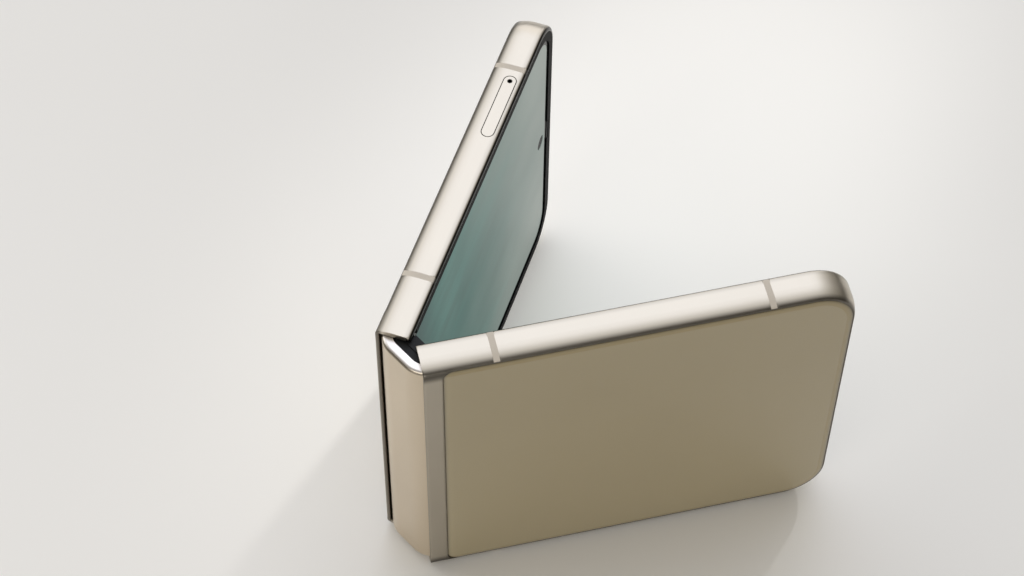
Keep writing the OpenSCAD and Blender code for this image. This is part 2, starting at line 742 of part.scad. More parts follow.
module gear_carrier() color(steel) at_spine() difference() {
    translate([0, 0, carrier_w]) linear_extrude(carrier_l) spine_section(core_r, core_top);
    translate([-2*core_r, carrier_floor - core_r, carrier_w + carrier_wall])
        cube([4*core_r, 2*core_r, carrier_l - 2*carrier_wall]);
    for (p = gear_axes) translate([p[0], p[1], carrier_w - over])
        cylinder(h = carrier_l + 2*over, r = pin_r + pin_fit);
    hinge_screw_holes();
}

// Pins through both walls of the carrier; the idlers' pins have a shoulder that holds them
module gear_pins() color(steel) at_spine() for (i = [0:3]) translate([gear_axes[i][0],
    gear_axes[i][1], carrier_w]) {
        cylinder(h = carrier_l, r = pin_r);
        if (i < 2) translate([0, 0, lever_w - carrier_w])
            cylinder(h = carrier_l - carrier_wall - stack_play - lever_w + carrier_w,
                     r = shoulder_r);
    }

// Spring discs that press on the arms' hubs and hold the halves where they are put
module friction_discs() color(steel) at_spine() for (side = [-1, 1], k = [0:disc_count - 1])
    translate([side*arm_x, arm_y, stack_w + k*disc_pitch]) mirror([0, 0, k % 2])
        translate([0, 0, k % 2 == 0 ? 0 : stack_play - disc_pitch])
            rotate_extrude() polygon([[pin_r + disc_play, disc_rise], [hub_r + disc_play, 0],
                                      [hub_r + disc_play, disc_t],
                                      [pin_r + disc_play, disc_rise + disc_t]]);

// ---------- film and cable across the fold ----------

module fold_arc(r, y, t, w0, w1) translate([0, y, 0]) rotate([0, 0, -90 - fold])
    rotate_extrude(angle = 2*fold) translate([r - t/2, w0]) square([t, w1 - w0]);

module display_fold() color(dark) at_spine()
    fold_arc(bend_r, bend_y, film_t, film_w0, body_w - film_w0);

module hinge_flex() color(copper) {
    at_spine() fold_arc(flex_r, flex_y + flex_r*cos(fold), flex_t, flex_w0, flex_w0 + flex_l);
    at_lower() flex_tail();
    at_upper() flex_tail();
}

module flex_tail() block([flex_s - flex_join, flex_end],
                         [flex_mid - flex_t/2, flex_mid + flex_t/2], [flex_w0, flex_w0 + flex_l]);

// ---------- frames ----------

module frame_blank() slab(near_gap, half_l, 0, body_w, 0, far_r) frame_edge();

module bay() translate([0, 0, cheek_t]) linear_extrude(body_w - 2*cheek_t) {
    difference() {
        translate([axis_x, axis_t]) circle(bay_r);
        translate([overhang_s, overhang_low]) square(2*bay_r);
    }
    translate([-over, lip_t]) square([overhang_s + over, body_t]);
}

module glass_pocket() inset_plate(rim_w, glass_s - seat, -over, glass_seat, glass_near_r);

module display_recess()
    inset_plate(rim_w, -over, deck_top, body_t + over);

module inner_space()
    inset_plate(wall, inner_s, glass_seat - seat, deck_low);

// Seats for the two brackets: a slot for the neck and a shallow pocket for the pad
module bracket_seats(grooves) for (w = [for (g = guide_starts) g + grooves + rail_play]) {
    block([axis_x - over, pad_s0 + over], [bracket_low - seat, deck_top + over],
          [w - neck_play, w + rail_l + neck_play]);
    block([pad_s0 - pad_play, pad_s0 + pad_l + pad_play], [bracket_low - seat, deck_top + over],
          [w - pad_side - pad_play, w + rail_l + pad_side + pad_play]);
    for (p = pad_screws(w))
        post(pad_s0 + pad_l/2, p, deck_low - over, deck_top, screw_r + hole_play);
}

function pad_screws(w) = [w - pad_side/2, w + rail_l + pad_side/2];

module bands(depth)
    for (s = [band_near, half_l - band_far], w = [[-over, depth], [body_w - depth, body_w + over]])
        block([s - band_w/2, s + band_w/2], [-over, body_t + over], w);

module frame(grooves) difference() {
    frame_blank();
    glass_pocket();
    display_recess();
    inner_space();
    bay();
    bracket_seats(grooves);
    block([overhang_s - over, arm_slot_end], [arm_slot_low, deck_top + over], arm_slot_w);
    block([axis_x, inner_s + over], [flex_mid - flex_play - seat, deck_low],
          [flex_w0 - slot_side_play, flex_w0 + flex_l + slot_side_play]);
    bands(band_depth);
}

module antenna_bands() intersection() {
    frame_blank();
    bands(band_depth);
}

module lower_frame() color(champagne) at_lower() difference() {
    frame(lower_groove);
    end_stadium(end_s - over, half_l + over, usb_t, mid_w, usb_w + 2*port_play,
                usb_h + 2*port_play);
    for (w = speaker_holes)
        end_stadium(end_s - over, half_l + over, usb_t, w, sound_l, 2*sound_r);
    translate([end_s - over, usb_t, microphone_w]) rotate([0, 90, 0])
        cylinder(h = wall + 2*over, r = sound_r);
}

module upper_frame() color(champagne) at_upper() difference() {
    frame(upper_groove);
    side_stadium(rocker_s, usb_t, -over, wall + over, rocker_l + 2*side_play, key_w + 2*side_play);
    side_stadium(power_s, usb_t, -over, wall + over, power_l + 2*side_play, key_w + 2*side_play);
    side_stadium(tray_s, tray_t, body_w - wall - over, body_w + over, tray_l + 2*side_play,
                 tray_h + 2*side_play);
    post(front_camera_s, mid_w, deck_low - over, deck_top + over, punch_r + pad_play);
    translate([end_s - over, usb_t, top_microphone_w]) rotate([0, 90, 0])
        cylinder(h = wall + 2*over, r = sound_r);
}

module lower_antenna_bands() color(cream) at_lower() antenna_bands();

module upper_antenna_bands() color(cream) at_upper() antenna_bands();

// ---------- shells and display ----------

module back_glass() let (inset = rim_w + seat)
    slab(glass_s, half_l - inset, inset, body_w - inset, glass_near_r, far_r - inset)
        glass_edge();

module lower_back_glass() color(cream) at_lower() back_glass();

module upper_back_glass() color(cream) at_upper() intersection() {
    back_glass();
    block([0, cover_s - seat], [-over, body_t], [0, body_w]);
}

module cover_glass() color(dark) at_upper() difference() {
    intersection() {
        back_glass();
        block([cover_s, half_l], [-over, body_t], [0, body_w]);
    }
    for (s = camera_places) post(s, camera_w, -over, body_t, camera_r + seat);
    post(flash_s, flash_w, -over, body_t, flash_r + seat);
}

module bezel() difference() {
    inset_plate(rim_w + seat, overhang_s, deck_top + seat/2, body_t);
    inset_plate(rim_w + bezel_w, -over, 0, body_t + over);
    inset_plate(film_w0 - seat, -over, 0, film_top + bezel_lift);
}

module lower_bezel() color(dark) at_lower() bezel();

module upper_bezel() color(dark) at_upper() difference() {
    bezel();
    block([bezel_in_s - over, bezel_in_s + earpiece_depth], [0, body_t + over],
          [mid_w - earpiece_l/2, mid_w + earpiece_l/2]);
}

module earpiece_mesh() color(dark) at_upper()
    block([bezel_in_s + seat, bezel_in_s + earpiece_depth - seat],
          [film_top + bezel_lift, body_t - 2*seat],
          [mid_w - earpiece_l/2 + seat, mid_w + earpiece_l/2 - seat]);

module film() inset_plate(film_w0, bend_s, film_low, film_top);

module plate()
    inset_plate(film_w0, plate_s, deck_top + seat/2, deck_top + seat/2 + plate_t);

module lower_display() color(dark) at_lower() film();

module upper_display() color([0.40, 0.50, 0.47]) at_upper() difference() {
    film();
    post(front_camera_s, mid_w, 0, body_t, punch_r);
}

module lower_display_plate() color(steel) at_lower() plate();

module upper_display_plate() color(steel) at_upper() difference() {
    plate();
    post(front_camera_s, mid_w, 0, body_t, punch_r);
}

// ---------- rotating brackets ----------

// Curved rail about the half's own axis, and the neck that it runs into
module rail_profile() {
    difference() {
        circle(rail_out);
        circle(rail_in);
        polygon(concat([[0, 0]],
            [for (q = [-rail_end, 60, 120, 360 - rail_back]) 3*rail_out*[cos(q), sin(q)]]));
    }
    translate([rail_in, bracket_low - axis_t]) square([pad_s0 + over - axis_x - rail_in, bracket_t]);
}

module bracket(w) difference() {
    union() {
        translate([axis_x, axis_t, w]) linear_extrude(rail_l) rail_profile();
        plain_slab(pad_s0, pad_s0 + pad_l, w - pad_side, w + rail_l + pad_side,
                   bracket_low, bracket_top, pad_round, pad_round);
    }
    for (p = pad_screws(w)) {
        post(pad_s0 + pad_l/2, p, 0, body_t, screw_r + hole_play);
        post(pad_s0 + pad_l/2, p, bracket_top - screw_head_t - hole_play, body_t,
             screw_head_r + hole_play);
    }
}

module lower_hinge_brackets() color(steel) at_lower()
    for (g = guide_starts) bracket(g + lower_groove + rail_play);

module upper_hinge_brackets() color(steel) at_upper()
    for (g = guide_starts) bracket(g + upper_groove + rail_play);

// Each screw's head lies in the bracket's counterbore and its shank runs down into the deck
module pad_screw_set(grooves) for (g = guide_starts, p = pad_screws(g + grooves + rail_play)) {
    post(pad_s0 + pad_l/2, p, bracket_top - screw_head_t, bracket_top, screw_head_r);
    post(pad_s0 + pad_l/2, p, deck_low + seat, bracket_top, screw_r);
}

module lower_screws() color(steel) at_lower() pad_screw_set(lower_groove);

module upper_screws() color(steel) at_upper() pad_screw_set(upper_groove);

// ---------- inside the lower half ----------

module cell(s1, inset)
    slab(cell_s, s1, wall + inset, body_w - wall - inset, cell_round, cell_round)
        round_edge(cell_low, cell_top, cell_edge, cell_edge);

module lower_battery() color(graphite) at_lower() cell(lower_cell_end, lower_cell_inset);

// Flat winding: ridges of copper on a thin backing
module charging_coil() color(copper) at_lower() translate([coil_s, 0, mid_w]) rotate([-90, 0, 0])
    rotate_extrude() polygon(concat(
        [[coil_r - coil_turns*coil_pitch, shield_low - seat], [coil_r, shield_low - seat]],
        [for (k = [0:coil_turns - 1], p = [[0, 0], [coil_wire, 0], [coil_wire, coil_ridge],
                                           [coil_pitch, coil_ridge]])
            [coil_r - k*coil_pitch - p[0], inner_low + p[1]]]));

module coil_shield() color(dark) at_lower() let (r = coil_r + shield_margin)
    plain_slab(coil_s - r, coil_s + r, mid_w - r, mid_w + r, shield_low, shield_low + shield_t,
               shield_round, shield_round);

module board_screw_holes()
    for (w = board_holes) post(board_hole_s, w, 0, body_t, board_hole_r);

module sub_board() color(board_green) at_lower() difference() {
    plain_slab(tail_s, port_s - part_play, sub_board_w[0], sub_board_w[1], cell_top - board_t,
               cell_top, board_hole_r, board_hole_r);
    board_screw_holes();
}

module usb_port() color(steel) at_lower() difference() {
    end_stadium(port_s, port_s + port_l, usb_t, mid_w, usb_w, usb_h);
    end_stadium(port_s + 2*port_wall, port_s + port_l + over, usb_t, mid_w,
                usb_w - 2*port_wall, usb_h - 2*port_wall);
}

module usb_tongue() color(dark) at_lower()
    plain_slab(port_s + 2*port_wall, port_s + port_l - tongue_inset, mid_w - tongue_w/2,
               mid_w + tongue_w/2, usb_t - tongue_t/2, usb_t + tongue_t/2, 0, tongue_t/2);

module loudspeaker() color(dark) at_lower() difference() {
    plain_slab(tail_s + part_gap, end_s - seat, speaker_w0, body_w - wall - seat,
               inner_low + speaker_rise, cell_top, board_round, pocket_r - seat);
    block([end_s - duct_l, end_s + over], [usb_t - sound_r, usb_t + sound_r],
          [speaker_holes[0] - sound_l/2, speaker_holes[sound_count - 1] + sound_l/2]);
}

module haptic_motor() color(steel) at_lower()
    slab(tail_s + part_gap, tail_s + part_gap + haptic_l, wall + part_gap, haptic_w1,
         haptic_round, haptic_round)
        round_edge(inner_low + haptic_rise, cell_top, haptic_edge, 0);

module microphone() color(steel) at_lower()
    plain_slab(end_s - microphone_l, end_s - seat, microphone_w - microphone_r,
               microphone_w + microphone_r, usb_t - sound_r - part_play, cell_top, part_play,
               part_play);

module lower_antenna_cover() color(dark) at_lower() difference() {
    plain_slab(tail_s, end_s - seat, wall + seat, body_w - wall - seat, inner_low,
               inner_low + antenna_t, board_round, pocket_r - seat);
    board_screw_holes();
}

// ---------- inside the upper half ----------

module upper_battery() color(graphite) at_upper()
    cell(upper_cell_end, upper_cell_inset);

module main_board() color(board_green) at_upper() difference() {
    plain_slab(board_s, end_s - board_margin, board_w0, board_w1, board_low, board_top,
               board_round, pocket_r - board_margin);
    for (s = camera_places) post(s, camera_w, 0, body_t, camera_body_r + part_play);
}

module shield_can(w0, w1) let (s0 = board_s + tail_gap, s1 = cover_s + can_reach) difference() {
    plain_slab(s0, s1, w0, w1, board_low - can_h, board_low - seat, can_round, can_round);
    block([s0 + can_t, s1 - can_t], [board_low - can_h + can_t, board_low + over],
          [w0 + can_t, w1 - can_t]);
}

module board_shields() color(steel) at_upper() {
    shield_can(board_w0 + can_side[0], can_split - can_gap/2);
    shield_can(can_split + can_gap/2, board_w1 - can_side[1]);
}

module cover_display() color(dark) at_upper()
    plain_slab(cover_s + display_near, half_l - display_far, flash_w + flash_r + part_gap,
               body_w - display_side, inner_low, inner_low + cover_display_t,
               cover_display_round, cover_display_round);

// Ring round a lens: a bevelled rim, and a ledge behind the glass of the lens
module camera_rings() color(champagne) at_upper() for (s = camera_places)
    translate([s, 0, camera_w]) rotate([-90, 0, 0]) rotate_extrude() polygon([
        [camera_r - ring_w, -camera_proud], [camera_r - ring_bevel, -camera_proud],
        [camera_r - ring_bevel*0.25, -camera_proud + ring_bevel*0.3],
        [camera_r, -camera_proud + ring_bevel], [camera_r, glass_t],
        [camera_r - ring_w - ring_ledge, glass_t], [camera_r - ring_w - ring_ledge, lens_low],
        [camera_r - ring_w, lens_low]]);

module camera_lenses() color(dark) at_upper() for (s = camera_places)
    post(s, camera_w, lens_sink - camera_proud, lens_low - seat, camera_r - ring_w - seat);

module camera_modules() color(dark) at_upper() for (s = camera_places) {
    post(s, camera_w, glass_t + seat, cell_top, camera_body_r);
    post(s, camera_w, lens_low + seat, glass_t + seat + over,
         camera_r - ring_w - ring_ledge - 2*seat);
}

module flash_lens() color("white") at_upper() post(flash_s, flash_w, 0, glass_t, flash_r);

module front_camera() color(dark) at_upper() {
    post(front_camera_s, mid_w, cell_top - front_camera_h, cell_top, front_camera_r);
    post(front_camera_s, mid_w, cell_top - seat, film_top - 2*seat, punch_r - pad_play);
}

module earpiece() color(dark) at_upper()
    plain_slab(end_s - earpiece_body[0], end_s - seat, mid_w - earpiece_body[1]/2,
               mid_w + earpiece_body[1]/2, board_top + seat, cell_top, part_play, part_play);

// Cage over the tray's blade, open toward the deck and the side
module card_reader() color(steel) at_upper() difference() {
    plain_slab(tray_s - blade_l/2 - reader_play - reader_wall,
               tray_s + blade_l/2 + reader_play + reader_wall,
               flap_w - tray_reach - reader_play - reader_wall, flap_w - reader_gap,
               board_top + seat, cell_top, reader_wall, reader_wall);
    block([tray_s - blade_l/2 - reader_play, tray_s + blade_l/2 + reader_play],
          [blade_low - side_play, cell_top + over], [flap_w - tray_reach - reader_play, body_w]);
}

// Tray: outer face, blade, and a pocket for the card
module sim_tray() color(champagne) at_upper() difference() {
    union() {
        side_stadium(tray_s, tray_t, flap_w, body_w, tray_l, tray_h);
        block([tray_s - blade_l/2, tray_s + blade_l/2], [blade_low, blade_low + blade_t],
              [flap_w - tray_reach, flap_w + wall/2]);
    }
    block([tray_s - card_s/2 - seat, tray_s + card_s/2 + seat],
          [blade_low - over, blade_low + card_t + seat], [card_w0 - seat, card_w0 + card_l + seat]);
    translate([eject_s, tray_t, flap_w - over]) cylinder(h = wall + 2*over, r = eject_r);
}

module sim_card() color("gold") at_upper()
    block([tray_s - card_s/2, tray_s + card_s/2], [blade_low, blade_low + card_t],
          [card_w0, card_w0 + card_l]);

// Key: a cap through the side wall and a flange that keeps it in
module key(s, l, proud) {
    side_stadium(s, usb_t, -proud, flange_w + flange_t, l, key_w);
    side_stadium(s, usb_t, flange_w, flange_w + flange_t, l + 2*flange_side,
                 key_w + 2*flange_side);
}

module power_key() color(champagne) at_upper() key(power_s, power_l, 0);

module volume_rocker() color(champagne) at_upper() key(rocker_s, rocker_l, rocker_proud);

// Strip with the domes that the keys press
module key_switches() color(steel) at_upper() {
    block([power_s - power_l/2, rocker_s + rocker_l/2], [usb_t - strip_h/2, usb_t + strip_h/2],
          [switch_w + dome_h, switch_w + dome_h + strip_t]);
    for (s = switch_places) translate([s, usb_t, switch_w])
        cylinder(h = dome_h + seat, r1 = dome_r[0], r2 = dome_r[1]);
}

module upper_antenna_cover() color(dark) at_upper()
    plain_slab(board_s, antenna_end, board_w0, board_w1, inner_low,
               inner_low + antenna_t, board_round, board_round);

// ---------- output ----------

hinge_cover();
hinge_end_caps();
hinge_guide_blocks();
gear_carrier();
gear_pins();
friction_discs();
hinge_screws();
display_fold();
hinge_flex();
lower_sync_arm();
upper_sync_arm();
lower_idler_gear();
upper_idler_gear();
lower_frame();
lower_antenna_bands();
lower_back_glass();
lower_bezel();
lower_display();
lower_display_plate();
lower_hinge_brackets();
lower_screws();
lower_battery();
charging_coil();
coil_shield();
sub_board();
usb_port();
usb_tongue();
loudspeaker();
haptic_motor();
microphone();
lower_antenna_cover();
upper_frame();
upper_antenna_bands();
upper_back_glass();
cover_glass();
cover_display();
camera_rings();
camera_lenses();
camera_modules();
flash_lens();
upper_bezel();
upper_display();
upper_display_plate();
upper_hinge_brackets();
upper_screws();
upper_battery();
main_board();
board_shields();
front_camera();
earpiece();
earpiece_mesh();
card_reader();
key_switches();
upper_antenna_cover();
sim_tray();
sim_card();
power_key();
volume_rocker();
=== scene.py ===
"""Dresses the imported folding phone: finishes, glass, the film over the fold, the light and the camera."""

import json
import logging
import math
from collections.abc import Iterator, Sequence
from contextlib import contextmanager
from dataclasses import dataclass, field, replace
from enum import Enum
from typing import Any, ClassVar, Union

import bmesh
import bpy
from mathutils import Matrix, Vector


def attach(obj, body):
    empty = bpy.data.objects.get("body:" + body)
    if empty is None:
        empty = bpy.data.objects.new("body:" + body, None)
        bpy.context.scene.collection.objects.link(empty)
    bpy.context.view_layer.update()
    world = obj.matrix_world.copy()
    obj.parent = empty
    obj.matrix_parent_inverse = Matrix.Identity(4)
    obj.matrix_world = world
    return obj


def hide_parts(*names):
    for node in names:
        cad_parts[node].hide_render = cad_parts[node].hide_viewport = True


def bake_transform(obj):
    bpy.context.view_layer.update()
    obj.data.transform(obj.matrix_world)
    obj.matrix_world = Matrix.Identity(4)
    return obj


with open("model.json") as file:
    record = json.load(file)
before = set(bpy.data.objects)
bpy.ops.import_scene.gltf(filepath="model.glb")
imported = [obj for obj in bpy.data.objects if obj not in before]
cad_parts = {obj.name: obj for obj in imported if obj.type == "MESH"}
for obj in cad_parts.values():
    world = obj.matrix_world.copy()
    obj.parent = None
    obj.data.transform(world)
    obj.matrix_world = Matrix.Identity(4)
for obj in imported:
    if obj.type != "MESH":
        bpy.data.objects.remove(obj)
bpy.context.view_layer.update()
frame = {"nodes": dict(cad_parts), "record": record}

LOG = logging.getLogger("phone")
MM = 0.001
Triple = tuple[float, float, float]
Colour = Triple
Number = Union[float, int, "Wire"]
UP: Triple = (0.0, 0.0, 1.0)


def srgb(red: float, green: float, blue: float) -> Colour:
    """Returns the linear colour of three display values from 0 to 255."""
    parts = (red / 255, green / 255, blue / 255)
    return tuple(v / 12.92 if v <= 0.04045 else ((v + 0.055) / 1.055) ** 2.4 for v in parts)


def tint(colour: Colour, factor: float, lift: float = 0.0) -> Colour:
    """Returns a colour made lighter or darker by a factor and then lifted, each part at most 1."""
    return tuple(min(1.0, part * factor + lift) for part in colour)


def on_circle(x: float, y: float, radius: float, angle: float) -> tuple[float, float]:
    """Returns the point of a circle at an angle in radians."""
    return x + radius * math.cos(angle), y + radius * math.sin(angle)


def full_turn(sides: int) -> list[float]:
    """Returns the angles that part a full turn evenly, in radians."""
    return [2 * math.pi * k / sides for k in range(sides)]


# ---------- places ----------


class Where(Enum):
    """The three big bodies, and the way that each lies at rest."""

    SPINE = ("hinge_spine", 0)
    LOWER = ("lower_half", 1)
    UPPER = ("upper_half", -1)

    @property
    def body(self) -> str:
        """The body's name in the frame."""
        return self.value[0]

    @property
    def side(self) -> int:
        """Sign of X on that half, or 0 on the spine."""
        return self.value[1]


@dataclass(frozen=True)
class Half:
    """The outline of a half, and how far in from it the glass and the film lie, in millimetres."""

    length: float = 83.0
    width: float = 72.2
    corner: float = 9.0
    glass_inset: float = 0.95
    film_inset: float = 1.65

    @property
    def middle(self) -> float:
        """The middle of the fold line."""
        return self.width / 2


@dataclass(frozen=True)
class Fold:
    """How the halves stand at rest, in millimetres.

    A point of a half is (s, t, w): s runs from the fold line to the far end, t from the back
    to the display, and w up along the fold line.
    """

    axis_s: float = 2.15
    axis_t: float = 6.4
    turn: float = math.radians(61.0)
    mid_y: float = 32.5589
    lift: float = 0.3

    def point(self, where: Where, s: float, t: float, w: float) -> Vector:
        """Carries a half's point into the row frame.

        Args:
            where: The half.
            s: Distance from the fold line.
            t: Height from the back.
            w: Place along the fold line.

        Returns:
            The point, in metres.
        """
        x, y = s - self.axis_s, t - self.axis_t
        c, n = math.cos(self.turn), math.sin(self.turn)
        return self.spine_point(where.side * (self.axis_s + c * x - n * y), n * x + c * y, w)

    def spine_point(self, x: float, y: float, w: float) -> Vector:
        """Returns a point of the spine in the row frame, in metres."""
        return MM * Vector((x, y - self.mid_y, w + self.lift))


HALF = Half()
FOLD = Fold()
CAMERAS = ((61.8, 11.6), (74.8, 11.6))  # places (s, w) of the two lenses on the upper half
FLASH = (68.3, 20.2)                    # place of the flash beside them
COVER_TOP = 70.85                       # upper end of the hinge cover


# ---------- shader maths ----------


@dataclass(frozen=True)
class Wire:
    """A node's output, on which Python's operators add Math or Vector Math nodes."""

    nodes: "Nodes"
    socket: bpy.types.NodeSocket

    @property
    def is_value(self) -> bool:
        """Whether this wire carries one number."""
        return self.socket.type == "VALUE"

    def _join(self, operation: str, first: Any, second: Any) -> "Wire":
        """Adds the Math or Vector Math node of an operation.

        Args:
            operation: The node's operation.
            first: The left operand.
            second: The right operand.

        Returns:
            The result.
        """
        plain = all(not isinstance(v, Wire) or v.is_value for v in (first, second))
        if plain:
            return self.nodes.maths(operation, first, second)
        return self.nodes.vector_maths(operation, first, second)

    def __add__(self, other: Any) -> "Wire":
        """Sum."""
        return self._join("ADD", self, other)

    def __radd__(self, other: Any) -> "Wire":
        """Sum, with this wire on the right."""
        return self._join("ADD", other, self)

    def __sub__(self, other: Any) -> "Wire":
        """Difference."""
        return self._join("SUBTRACT", self, other)

    def __rsub__(self, other: Any) -> "Wire":
        """Difference, with this wire on the right."""
        return self._join("SUBTRACT", other, self)

    def __mul__(self, other: Any) -> "Wire":
        """Product."""
        return self._join("MULTIPLY", self, other)

    def __rmul__(self, other: Any) -> "Wire":
        """Product, with this wire on the right."""
        return self._join("MULTIPLY", other, self)

    def __truediv__(self, other: Any) -> "Wire":
        """Quotient."""
        return self._join("DIVIDE", self, other)

    def __abs__(self) -> "Wire":
        """Size of a number without its sign."""
        return self.nodes.maths("ABSOLUTE", self)

    def dot(self, way: Sequence[float]) -> "Wire":
        """Returns how far a vector reaches along a way, as a number."""
        return self.nodes.vector_maths("DOT_PRODUCT", self, tuple(way), output="Value")

    @property
    def x(self) -> "Wire":
        """A vector's first part: on a half, the distance from the fold line."""
        return self.dot((1, 0, 0))

    @property
    def y(self) -> "Wire":
        """A vector's second part: on a half, the height from its back."""
        return self.dot((0, 1, 0))

    @property
    def z(self) -> "Wire":
        """A vector's third part: the place up along the fold line."""
        return self.dot(UP)

    def sine(self) -> "Wire":
        """Returns the sine of a number in radians."""
        return self.nodes.maths("SINE", self)

    def fraction(self) -> "Wire":
        """Returns what is left of a number past its whole part."""
        return self.nodes.maths("FRACT", self)

    def ramp(self, low: float, high: float) -> "Wire":
        """Returns a soft step between two values.

        Args:
            low: The value at which the step is 0.
            high: The value at which it is 1.

        Returns:
            The step, from 0 to 1.
        """
        ends = {"Value": self, "From Min": low, "From Max": high, "To Min": 0.0, "To Max": 1.0}
        return self.nodes.wire("ShaderNodeMapRange", {"interpolation_type": "SMOOTHSTEP"}, ends)


class Nodes:
    """A tree of nodes and the maths done with them."""

    def __init__(self, tree: bpy.types.NodeTree) -> None:
        """Takes a tree and empties it.

        Args:
            tree: The material's or the room's tree.
        """
        self.tree = tree
        self.tree.nodes.clear()

    def node(
        self,
        kind: str,
        settings: dict[str, Any] | None = None,
        inputs: dict[str | int, Any] | None = None,
    ) -> bpy.types.Node:
        """Adds any node.

        Args:
            kind: The node's type.
            settings: Its own properties, and "stops" for a ramp's places and colours.
            inputs: Values or links of its sockets, by name or place.

        Returns:
            The node.
        """
        made = self.tree.nodes.new(kind)
        for key, value in (settings or {}).items():
            if key == "stops":
                self.set_stops(made.color_ramp, value)
            else:
                setattr(made, key, value)
        for key, value in (inputs or {}).items():
            self.feed(made.inputs[key], value)
        return made

    def wire(self, kind: str, *parts: Any, output: str | int = 0) -> Wire:
        """Adds any node, with the settings and inputs of node(), and returns one of its outputs."""
        return Wire(self, self.node(kind, *parts).outputs[output])

    def feed(self, socket: bpy.types.NodeSocket, value: Any) -> None:
        """Links or sets a socket.

        Args:
            socket: The socket.
            value: A wire or an output to link, or the socket's own value.
        """
        if isinstance(value, Wire):
            value = value.socket
        if isinstance(value, bpy.types.NodeSocket):
            self.tree.links.new(value, socket)
        elif socket.type == "RGBA":
            socket.default_value = (*value[:3], 1.0)
        elif socket.type == "VECTOR" and not hasattr(value, "__len__"):
            socket.default_value = (value, value, value)
        else:
            socket.default_value = value

    @staticmethod
    def set_stops(ramp: bpy.types.ColorRamp, stops: Sequence[tuple[float, Colour]]) -> None:
        """Gives a colour ramp its stops.

        Args:
            ramp: The ramp.
            stops: The place and the colour of each stop.
        """
        while len(ramp.elements) < len(stops):
            ramp.elements.new(1.0)
        for element, (place, colour) in zip(ramp.elements, stops):
            element.position, element.color = place, (*colour, 1.0)

    def maths(self, operation: str, *terms: Number) -> Wire:
        """Returns a Math node's result."""
        return self.wire("ShaderNodeMath", {"operation": operation}, dict(enumerate(terms)))

    def vector_maths(self, operation: str, *terms: Any, output: str = "Vector") -> Wire:
        """Returns a Vector Math node's result."""
        terms = dict(enumerate(terms))
        return self.wire("ShaderNodeVectorMath", {"operation": operation}, terms, output=output)

    def mix(self, first: Any, second: Any, share: Number) -> Wire:
        """Mixes two colours.

        Args:
            first: The colour at a share of 0.
            second: The colour at a share of 1.
            share: How much of the second, as a number or a wire.

        Returns:
            The mixed colour.
        """
        ends = {0: share, 6: first, 7: second}
        return self.wire("ShaderNodeMix", {"data_type": "RGBA"}, ends, output=2)

    def noise(self, point: Wire, scale: float, detail: float = 2.0, rough: float = 0.5) -> Wire:
        """Returns soft noise about 0, from about -1 to 1.

        Args:
            point: Where, in millimetres.
            scale: Lumps in a millimetre.
            detail: Octaves.
            rough: Strength of the finer octaves.

        Returns:
            The noise.
        """
        inputs = {"Vector": point, "Scale": scale, "Detail": detail, "Roughness": rough}
        return self.wire("ShaderNodeTexNoise", {}, inputs) * 2.0 - 1.0

    def cells(self, point: Wire, scale: float, feature: str = "F1") -> Wire:
        """Returns the distance in a Voronoi pattern.

        Args:
            point: Where, in millimetres.
            scale: Cells in a millimetre.
            feature: The node's feature.

        Returns:
            The distance.
        """
        inputs = {"Vector": point, "Scale": scale}
        return self.wire("ShaderNodeTexVoronoi", {"feature": feature}, inputs, output="Distance")

    def outside(self, x: Wire, y: Wire, half_x: float, half_y: float, radius: float) -> Wire:
        """Returns the distance to a rounded rectangle, below 0 inside it.

        Args:
            x: Distance from the rectangle's middle along its length.
            y: Distance from its middle across.
            half_x: Half its length.
            half_y: Half its width.
            radius: Radius of its corners.

        Returns:
            The distance, in millimetres.
        """
        over_x, over_y = abs(x) - (half_x - radius), abs(y) - (half_y - radius)
        corner = self.combine(self.maths("MAXIMUM", over_x, 0.0), self.maths("MAXIMUM", over_y, 0.0), 0.0)
        inner = self.maths("MINIMUM", self.maths("MAXIMUM", over_x, over_y), 0.0)
        return self.vector_maths("LENGTH", corner, output="Value") + inner - radius

    def combine(self, x: Number, y: Number, z: Number) -> Wire:
        """Returns a vector from three numbers."""
        return self.wire("ShaderNodeCombineXYZ", {}, {0: x, 1: y, 2: z})


